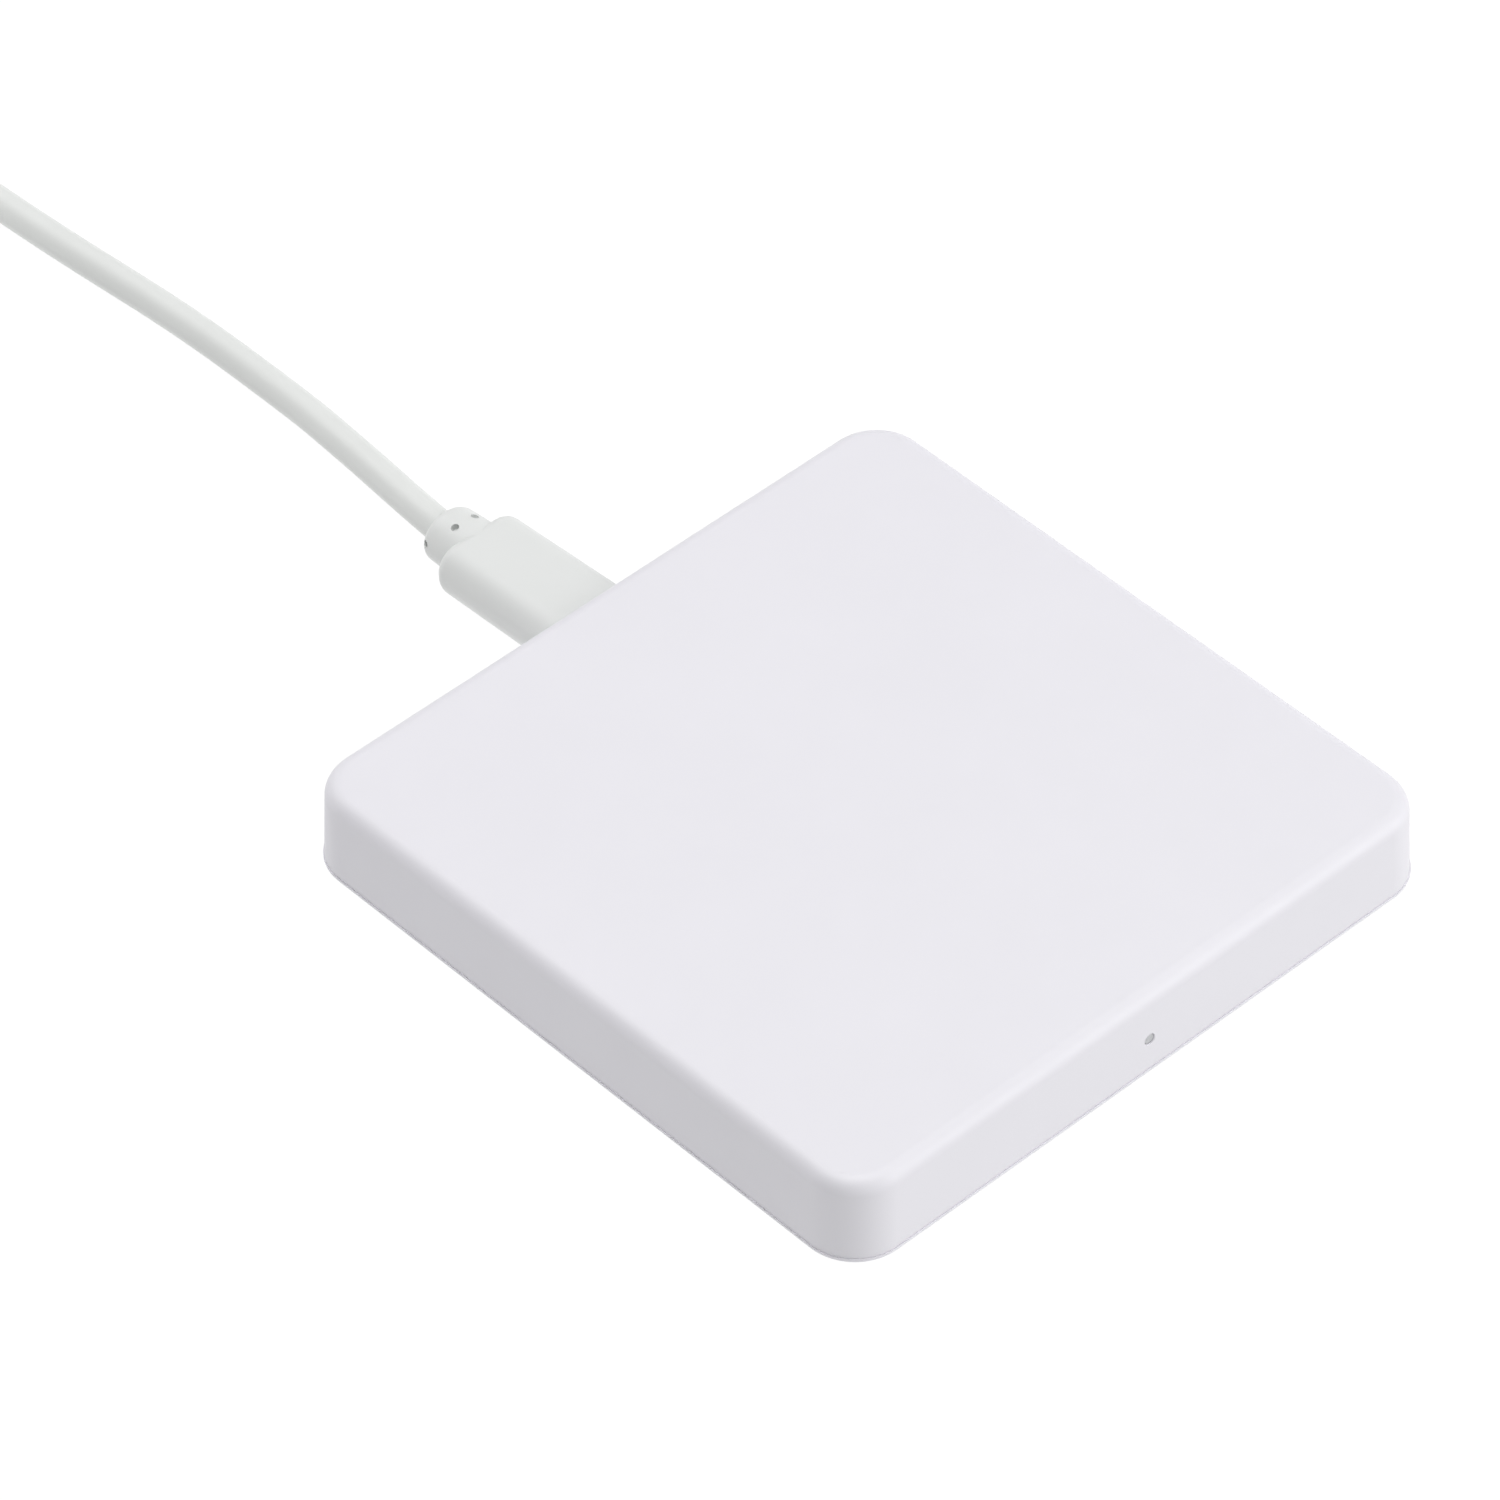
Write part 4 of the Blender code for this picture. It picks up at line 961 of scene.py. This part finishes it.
# A block with its four long edges rounded, bored from one end: side is 1 for +Y and -1 for -Y.
def makeTube(name, low, high, corner, wall, depth, side, lip, steps=12):
    tube = addBlock(name, low, high)
    roundEdges(tube, corner, steps, alongY)
    place = high[1] if side > 0 else low[1]
    editFaces(tube, isEndFace(side, place))
    bpy.ops.mesh.inset(thickness=wall - lip)
    bpy.ops.mesh.inset(thickness=lip, depth=-lip)
    extrude(0, -side * (depth - lip), 0)
    endEdit()
    return tube


# Thin strips side by side on a face, as one piece.
def addStrips(name, middle, size, count, pitch):
    strips = []
    for number in range(count):
        shift = (number - (count - 1) / 2) * pitch
        place = Vector(middle) + Vector((shift, 0, 0))
        half = Vector(size) / 2
        strip = addBlock(name, place - half, place + half)
        roundEdges(strip, min(size) * 0.35, 1, everything)
        strips.append(strip)
    return joinPieces(*strips)


def makeSocket():
    low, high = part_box("usb_socket_shell")
    wall = socketSet["wall"]
    height = high.z - low.z
    depth = high.y - low.y - wall
    shell = makeTube(
        "socketShell", low, high, socketSet["oval"] * height, wall, depth, 1, socketSet["lip"]
    )
    finishPiece(shell, nickel, "pad", "steel_shell", "usb_socket_shell")

    low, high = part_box("usb_socket_tongue")
    thick = socketSet["tongueThick"]
    tongue = addBlock("socketTongue", low, (high.x, low.y + socketSet["block"], high.z))
    roundEdges(tongue, 0.45 * (high.z - low.z), 10, alongY)
    blade = addBlock(
        "tongueBlade",
        (-socketSet["tongueHalf"], low.y + socketSet["block"] / 2, socket.z - thick / 2),
        (socketSet["tongueHalf"], high.y, socket.z + thick / 2),
    )
    roundEdges(blade, socketSet["tongueTip"], 3, lambda a, b: min(a.y, b.y) > high.y - near)
    combine(tongue, blade, "UNION")
    finishPiece(tongue, blackCarrier, "pad", "contact_carrier", "usb_socket_tongue")

    proud = socketSet["contactProud"]
    size = (socketSet["contactWidth"], socketSet["contactLength"], 2 * proud)
    place = high.y - socketSet["tongueTip"] - size[1] / 2 - 0.3 * mm
    count, pitch = socketSet["contacts"], socketSet["contactPitch"]
    rows = [
        addStrips("contacts", (0, place, socket.z + side * thick / 2), size, count, pitch)
        for side in (-1, 1)
    ]
    contacts = joinPieces(*rows)
    contacts.name = "socketContacts"
    finishPiece(contacts, goldContact, "pad", "steel_shell")


# The plug's own shell lies straight in the socket, lined with the carrier of its spring contacts.
linerSet = {
    "shellWall": 0.22 * mm,
    "gap": 0.02 * mm,
    "wall": 0.30 * mm,
    "setBack": 0.5 * mm,
    "springs": 8,
    "springPitch": 0.62 * mm,
    "springSize": (0.25 * mm, 2.4 * mm, 0.12 * mm),
}


def makePlugShell():
    low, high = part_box("plug_shell")
    height = high.z - low.z
    wall = linerSet["shellWall"]
    shell = makeTube(
        "plugShell", low, high, socketSet["oval"] * height, wall, high.y - low.y - wall, -1, 0.05 * mm
    )
    finishPiece(shell, nickel, "cable", "steel_shell", "plug_shell")

    inset = Vector((wall + linerSet["gap"], 0, wall + linerSet["gap"]))
    linerLow = Vector(low) + inset + Vector((0, linerSet["setBack"], 0))
    linerHigh = Vector(high) - inset - Vector((0, wall + linerSet["gap"], 0))
    liner = makeTube(
        "plugLiner",
        linerLow,
        linerHigh,
        0.47 * (linerHigh.z - linerLow.z),
        linerSet["wall"],
        linerHigh.y - linerLow.y - 1.1 * mm,
        -1,
        0.04 * mm,
    )
    finishPiece(liner, blackCarrier, "cable", "contact_carrier", "plug_insert")
    springSize = linerSet["springSize"]
    inner = (linerHigh.z - linerLow.z) / 2 - linerSet["wall"]
    rows = []
    for side in (-1, 1):
        middle = (0, linerLow.y + 1.8 * mm, socket.z + side * (inner - 0.02 * mm))
        rows.append(addStrips("springs", middle, springSize, linerSet["springs"], linerSet["springPitch"]))
    springs = joinPieces(*rows)
    springs.name = "plugSprings"
    finishPiece(springs, goldContact, "cable", "steel_shell")
    return shell, liner, springs


# Turns a piece that was made along +Y from the wall's face to the way the plug hangs.
def hang(piece):
    selectOnly(piece)
    piece.matrix_world = Matrix.Translation(hangPoint) @ Matrix.Rotation(-plugSet["sag"], 4, "X")
    bpy.ops.object.transform_apply(location=True, rotation=True, scale=True)


def makeOvermould():
    start, end = plugSet["faceGap"], plugSet["faceGap"] + plugSet["length"]
    halfWide, halfHigh = plugSet["width"] / 2, plugSet["height"] / 2
    body = addBlock("plugOvermould", (-halfWide, start, -halfHigh), (halfWide, end, halfHigh))
    editFaces(body, lambda middle, normal: normal.y > 0.9)
    taper = plugSet["taper"]
    bpy.ops.transform.resize(value=(1 - taper / halfWide, 1, 1 - taper / halfHigh))
    endEdit()
    roundEdges(body, plugSet["corner"], 16, alongY)
    roundEdges(body, plugSet["endRound"], 10, lambda a, b: min(a.y, b.y) > end - near)
    roundEdges(body, plugSet["frontRound"], 4, lambda a, b: max(a.y, b.y) < start + near)
    seatRadius = collarSet["root"] + plugSet["seatGap"]
    seat = addRod("seat", (0, collarStart, 0), seatRadius, 2 * collarSet["inside"], 80, upToFront)
    editFaces(seat, everything)
    bpy.ops.transform.resize(value=(collarSet["oval"], 1, 1))
    endEdit()
    combine(body, seat)
    hang(body)
    low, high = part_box("plug_shell")
    room = Vector((1, 0, 1)) * plugSet["shellRoom"]
    pocket = addBlock("pocket", low - room - Vector((0, 1 * mm, 0)), high + room)
    roundEdges(pocket, socketSet["oval"] * (high.z - low.z + 2 * plugSet["shellRoom"]), 12, alongY)
    combine(body, pocket)
    return finishPiece(body, plugPlastic, "cable", "plug_plastic", "plug_overmould")


def collarRadius(along):
    share = max(0.0, along) / collarSet["length"]
    return collarSet["root"] + (collarSet["end"] - collarSet["root"]) * share**2


# Bores a short way in from the last face of a turned piece, for the cable to come out of.
def boreEnd(piece, height, radius, depth):
    editFaces(piece, lambda middle, normal: abs(middle.z - height) < 0.001 * mm and abs(normal.z) > 0.99)
    points = [v.co for v in bpy.context.object.data.vertices if abs(v.co.z - height) < 0.001 * mm]
    outer = max(math.hypot(p.x, p.y) for p in points)
    bpy.ops.mesh.inset(thickness=outer - radius)
    extrude(0, 0, -depth)
    endEdit()


# A fat oval collar that grows out of the plug's rounded end and closes round the cable.
def makeCollar():
    length, endRound, inside = collarSet["length"], collarSet["endRound"], collarSet["inside"]
    shoulder = length - endRound
    outline = [(collarSet["root"], -inside), (collarSet["root"], 0)]
    outline += [(collarRadius(shoulder * k / 8), shoulder * k / 8) for k in range(1, 9)]
    for k in range(1, 10):
        angle = math.radians(80 * k / 9)
        inset = endRound * (1 - math.cos(angle))
        outline.append((collarRadius(shoulder) - inset, shoulder + endRound * math.sin(angle)))
    collar = latheUp("collar", outline, 80)
    editFaces(collar, everything)
    bpy.ops.transform.resize(value=(collarSet["oval"], 1, 1))
    endEdit()
    depth = collarSet["boreDepth"]
    middle = (0, 0, length - depth / 2 + 0.5 * mm)
    combine(collar, addRod("bore", middle, collarSet["boreRadius"], depth + 1 * mm, 48))
    putInPlace(collar, (0, 0, 0), upToBack)
    putInPlace(collar, (0, collarStart, 0))
    rows = [(collarSet["frontRow"], angle) for angle in collarSet["frontHoles"]]
    rows += [(collarSet["sideRow"], angle) for angle in collarSet["sideHoles"]]
    holes = []
    for along, degrees in rows:
        angle = math.radians(degrees)
        x = collarSet["oval"] * collarRadius(along) * math.cos(angle)
        z = collarRadius(along) * math.sin(angle)
        turn = (0, math.atan2(x / collarSet["oval"] ** 2, z), 0)  # square to the oval's side
        place = (x, collarStart + along, z)
        holes.append(addRod("hole", place, collarSet["holeRadius"], 2 * collarSet["holeDepth"], 28, turn))
    combine(collar, joinPieces(*holes))
    hang(collar)
    return finishPiece(collar, plugPlastic, "cable", "plug_plastic", "strain_relief")


makeLightPipe()
makeSocket()
plugShell, plugLiner, plugSprings = makePlugShell()
plugOvermould = makeOvermould()
collar = makeCollar()
print("stage: light, socket and plug made")


# The tie: a strip of woven hook-and-loop band, wrapped once round all the turns and a little over itself.
tieSet = {
    "width": 3.5 * mm,
    "thick": 0.55 * mm,
    "gap": 0.03 * mm,
    "start": 100,  # degrees round the turns' outline, 90 on top
    "overlap": 100,
    "edge": 0.12 * mm,
    "steps": 90,
}


# Where each turn crosses the tie's plane: distance from the ring's middle, and height.
def turnsAtTie():
    perTurn = cordSet["pointsPerTurn"]
    points = coilPoints()
    first = round(cordSet["tieAngle"] / 360 * perTurn)
    crossings = []
    for i in range(first, len(points), perTurn):
        away = points[i] - ringMiddle
        crossings.append((math.hypot(away.x, away.y), points[i].z))
    return crossings


def makeTie():
    turns = turnsAtTie()
    knots = []
    full = 360 + tieSet["overlap"]
    count = round(tieSet["steps"] * full / 360)
    for i in range(count + 1):
        degrees = full * i / count
        angle = math.radians(tieSet["start"] + degrees)
        over = min(1.0, max(0.0, (degrees - 335) / 25))
        reach = cordSet["radius"] + tieSet["gap"] + tieSet["thick"] / 2 + over * (tieSet["thick"] + tieSet["gap"])
        x, y = max(turns, key=lambda turn: turn[0] * math.cos(angle) + turn[1] * math.sin(angle))
        knots.append((x + reach * math.cos(angle), y + reach * math.sin(angle)))
    curve = bpy.data.curves.new("cableTie", "CURVE")
    curve.dimensions = "2D"
    curve.fill_mode = "NONE"
    curve.extrude = tieSet["width"] / 2
    spline = curve.splines.new("POLY")
    spline.points.add(len(knots) - 1)
    for point, (x, y) in zip(spline.points, knots):
        point.co = (x, y, 0, 1)
    tie = bpy.data.objects.new("cableTie", curve)
    bpy.context.scene.collection.objects.link(tie)
    selectOnly(tie)
    bpy.ops.object.convert(target="MESH")
    tie = bpy.context.object
    editFaces(tie, everything)
    bpy.ops.mesh.remove_doubles(threshold=1e-6)
    bpy.ops.mesh.normals_make_consistent(inside=False)
    endEdit()
    applyModifier(tie, "SOLIDIFY", thickness=tieSet["thick"], offset=0, use_even_offset=True)
    editFaces(tie, everything)
    bpy.ops.mesh.normals_make_consistent(inside=False)
    endEdit()
    roundEdges(tie, tieSet["edge"], 2, lambda a, b: abs(abs(a.z) - tieSet["width"] / 2) < 1e-6 and abs(a.z - b.z) < 1e-6)
    putInPlace(tie, (0, 0, 0), upToFront)
    putInPlace(tie, (ringMiddle.x, ringMiddle.y, 0), (0, 0, math.radians(cordSet["tieAngle"])))
    return finishPiece(tie, wovenBand, "cable", "tie_band", "cable_tie", angle=50)


# The far end, which goes into the supply: a wide plug that lies beside the coil and points along -Y.
supplySet = {
    "round": 2.0 * mm,
    "endRound": 1.3 * mm,
    "frontRound": 0.3 * mm,
    "gripInset": 2.2 * mm,
    "gripDepth": 0.25 * mm,
    "shellCorner": 0.45 * mm,
    "shellWall": 0.3 * mm,
    "shellRoom": 0.05 * mm,
    "window": (2.2 * mm, 2.4 * mm),
    "windowSpread": 2.85 * mm,
    "windowPlace": 4.8 * mm,  # from the shell's mouth
    "contactXs": (-3.5 * mm, -1.0 * mm, 1.0 * mm, 3.5 * mm),
    "contactSize": (1.0 * mm, 7.2 * mm, 0.06 * mm),
    "collarRoot": 2.9 * mm,
    "collarEnd": 2.35 * mm,
    "grooves": 3,
    "grooveDepth": 0.35 * mm,
}


def makeSupplyPlug():
    low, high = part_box("usb_a_overmould")
    shellLow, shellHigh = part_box("usb_a_shell")
    body = addBlock("supplyPlug", low, high)
    roundEdges(body, supplySet["round"], 10, alongY)
    roundEdges(body, supplySet["endRound"], 8, lambda a, b: min(a.y, b.y) > high.y - near)
    roundEdges(body, supplySet["frontRound"], 4, lambda a, b: max(a.y, b.y) < low.y + near)
    editFaces(body, lambda middle, normal: normal.z > 0.99 and abs(middle.z - high.z) < near)
    bpy.ops.mesh.inset(thickness=supplySet["gripInset"])
    bpy.ops.mesh.inset(thickness=0.4 * mm, depth=-supplySet["gripDepth"])
    endEdit()
    room = supplySet["shellRoom"]
    pocket = addBlock(
        "pocket",
        (shellLow.x - room, shellLow.y, shellLow.z - room),
        (shellHigh.x + room, shellHigh.y + room, shellHigh.z + room),
    )
    combine(body, pocket)
    finishPiece(body, plugPlastic, "cable", "plug_plastic", "usb_a_overmould")

    wall = supplySet["shellWall"]
    shell = makeTube(
        "supplyShell", shellLow, shellHigh, supplySet["shellCorner"], wall,
        shellHigh.y - shellLow.y - wall, -1, 0.05 * mm, 4,
    )
    middle = (shellLow + shellHigh) / 2
    wide, long = supplySet["window"]
    for side in (-1, 1):
        x = middle.x + side * supplySet["windowSpread"]
        y = shellLow.y + supplySet["windowPlace"]
        window = addBlock("window", (x - wide / 2, y - long / 2, shellHigh.z - 1 * mm), (x + wide / 2, y + long / 2, shellHigh.z + 1 * mm))
        combine(shell, window)
    seam = addBlock(
        "seam",
        (middle.x - 0.04 * mm, shellLow.y - 1 * mm, shellLow.z - 1 * mm),
        (middle.x + 0.04 * mm, low.y, shellLow.z + 0.1 * mm),
    )
    combine(shell, seam)
    finishPiece(shell, nickel, "cable", "steel_shell", "usb_a_shell")

    bladeLow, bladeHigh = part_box("usb_a_blade")
    blade = addBlock("supplyBlade", bladeLow, bladeHigh)
    roundEdges(blade, 0.3 * mm, 3, lambda a, b: max(a.y, b.y) < bladeLow.y + near and min(a.z, b.z) > bladeHigh.z - near)
    sizeX, sizeY, sizeZ = supplySet["contactSize"]
    contacts = []
    for x in supplySet["contactXs"]:
        y = bladeLow.y + 0.9 * mm + sizeY / 2
        room = addBlock(
            "channel",
            (middle.x + x - sizeX / 2 - 0.08 * mm, y - sizeY / 2 - 0.08 * mm, bladeHigh.z - 0.1 * mm),
            (middle.x + x + sizeX / 2 + 0.08 * mm, y + sizeY / 2 + 0.08 * mm, bladeHigh.z + 1 * mm),
        )
        combine(blade, room)
        contacts.append(addStrips("contact", (middle.x + x, y, bladeHigh.z - 0.07 * mm), (sizeX, sizeY, sizeZ), 1, 0))
    finishPiece(blade, whiteCarrier, "cable", "usb_a_carrier", "usb_a_blade")
    contacts = joinPieces(*contacts)
    contacts.name = "supplyContacts"
    finishPiece(contacts, goldContact, "cable", "steel_shell")

    low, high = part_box("usb_a_strain_relief")
    length = high.y - low.y
    root, end = supplySet["collarRoot"], supplySet["collarEnd"]
    outline = [(root, 0)]
    count = supplySet["grooves"]
    for number in range(count):
        start = length * (0.18 + 0.22 * number)
        for step, deep in ((0, 0), (0.06, 1), (0.11, 1), (0.17, 0)):
            height = start + step * length * 0.7
            outline.append((root + (end - root) * height / length - deep * supplySet["grooveDepth"], height))
    outline += [(end, length - 0.5 * mm), (end - 0.15 * mm, length - 0.15 * mm), (end - 0.35 * mm, length)]
    relief = latheUp("supplyCollar", outline, 56)
    boreEnd(relief, length, cordSet["radius"] + 0.04 * mm, 1.6 * mm)
    putInPlace(relief, ((low.x + high.x) / 2, low.y, (low.z + high.z) / 2), upToBack)
    finishPiece(relief, plugPlastic, "cable", "plug_plastic", "usb_a_strain_relief")
    return body, shell, blade, contacts, relief


cableTie = makeTie()
supplyPieces = makeSupplyPlug()
print("stage: tie and supply plug made")


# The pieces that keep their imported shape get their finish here.
ferriteBlock = speckled("ferriteBlock", shades["ferrite"], tinted(shades["ferrite"], 2.4), 0.62, 0.12 * mm, 0.18)
chokeCore = speckled("chokeCore", (0.085, 0.085, 0.09), (0.17, 0.17, 0.175), 0.55, 0.16 * mm, 0.22)
sensorBead = speckled("sensorBead", (0.20, 0.045, 0.03), (0.30, 0.09, 0.06), 0.35, 0.2 * mm, 0.2)
tapeFilm = mouldedPlastic("tapeFilm", shades["tape"], 0.55, grain=0.5 * mm, depth=0.01 * mm, mottle=0.05)
wireSleeve = mouldedPlastic("wireSleeve", (0.035, 0.035, 0.037), 0.5, grain=0.08 * mm, mottle=0.12)
copperStrands = litzCopper("copperStrands")
finishes = {
    "main_board": boardMask("boardMask"),
    "charger_chip": chipResin("chargerResin", "charger_chip"),
    "power_stage_1": chipResin("stageResin1", "power_stage_1"),
    "power_stage_2": chipResin("stageResin2", "power_stage_2"),
    "input_choke": chokeCore,
    "sense_resistor": endCapped("resistorBody", "sense_resistor", "X", 0.5 * mm, (0.03, 0.03, 0.032)),
    "status_led": ledBody("ledBody"),
    "transmitter_coil": copperStrands,
    "coil_lead_inner": copperStrands,
    "coil_lead_outer": copperStrands,
    "coil_tape": tapeFilm,
    "ferrite_sheet": ferriteBlock,
    "temperature_sensor": sensorBead,
    "sensor_wire_1": wireSleeve,
    "sensor_wire_2": wireSleeve,
}
for number in (1, 2, 3, 4):
    node = f"resonant_capacitor_{number}"
    finishes[node] = endCapped(f"resonantBody{number}", node, "X", 0.5 * mm, shades["ceramic"])
for number in (1, 2):
    node = f"input_capacitor_{number}"
    finishes[node] = endCapped(f"inputBody{number}", node, "Y", 0.5 * mm, (0.50, 0.38, 0.27))
for x, y in fourCorners:
    finishes["case_screw_" + ("front" if y < 0 else "back") + ("_left" if x < 0 else "_right")] = zincPlate

for node, material in finishes.items():
    piece = bpy.data.objects[node]
    piece.data.materials.clear()
    piece.data.materials.append(material)
print("stage: packed pieces finished")


# A pale table lit from within, like a light table, under soft boxes: overhead, in front and behind.
studioSet = {
    "floorSide": 8,
    "floorShade": (0.10, 0.10, 0.10),
    "floorGlow": 0.95,
    "around": (0.184, 0.184, 0.184),
    "lights": [  # name, azimuth, elevation, distance, side, watts; degrees and metres
        ("overheadBox", 0, 89.9, 1.4, 0.9, 12.8),
        ("frontBox", 308, 25, 1.4, 0.8, 8.7),
        ("backBox", 90, 30, 1.4, 0.8, 4.8),
    ],
}


def addFloor():
    deselectAll()
    bpy.ops.mesh.primitive_plane_add(size=studioSet["floorSide"])
    floor = bpy.context.object
    floor.name = "floor"
    paper = newMaterial("paleTable", studioSet["floorShade"], 0.9)
    shader = paper.node_tree.nodes["Principled BSDF"]
    shader.inputs["Specular IOR Level"].default_value = 0.0
    shader.inputs["Emission Color"].default_value = (1, 1, 1, 1)
    shader.inputs["Emission Strength"].default_value = studioSet["floorGlow"]
    floor.data.materials.append(paper)


def addLights():
    world = bpy.data.worlds.new("studio")
    world.use_nodes = True
    world.node_tree.nodes["Background"].inputs["Color"].default_value = (*studioSet["around"], 1)
    bpy.context.scene.world = world
    for name, azimuth, elevation, distance, side, watts in studioSet["lights"]:
        around, up = math.radians(azimuth), math.radians(elevation)
        place = distance * Vector((math.cos(up) * math.cos(around), math.cos(up) * math.sin(around), math.sin(up)))
        light = bpy.data.lights.new(name, "AREA")
        light.shape = "SQUARE"
        light.size = side
        light.energy = watts
        lamp = bpy.data.objects.new(name, light)
        bpy.context.scene.collection.objects.link(lamp)
        lamp.location = place
        lamp.rotation_euler = (-place).to_track_quat("-Z", "Y").to_euler()


addFloor()
addLights()
bpy.context.scene.view_settings.view_transform = "Standard"
print("stage: floor and lights set")
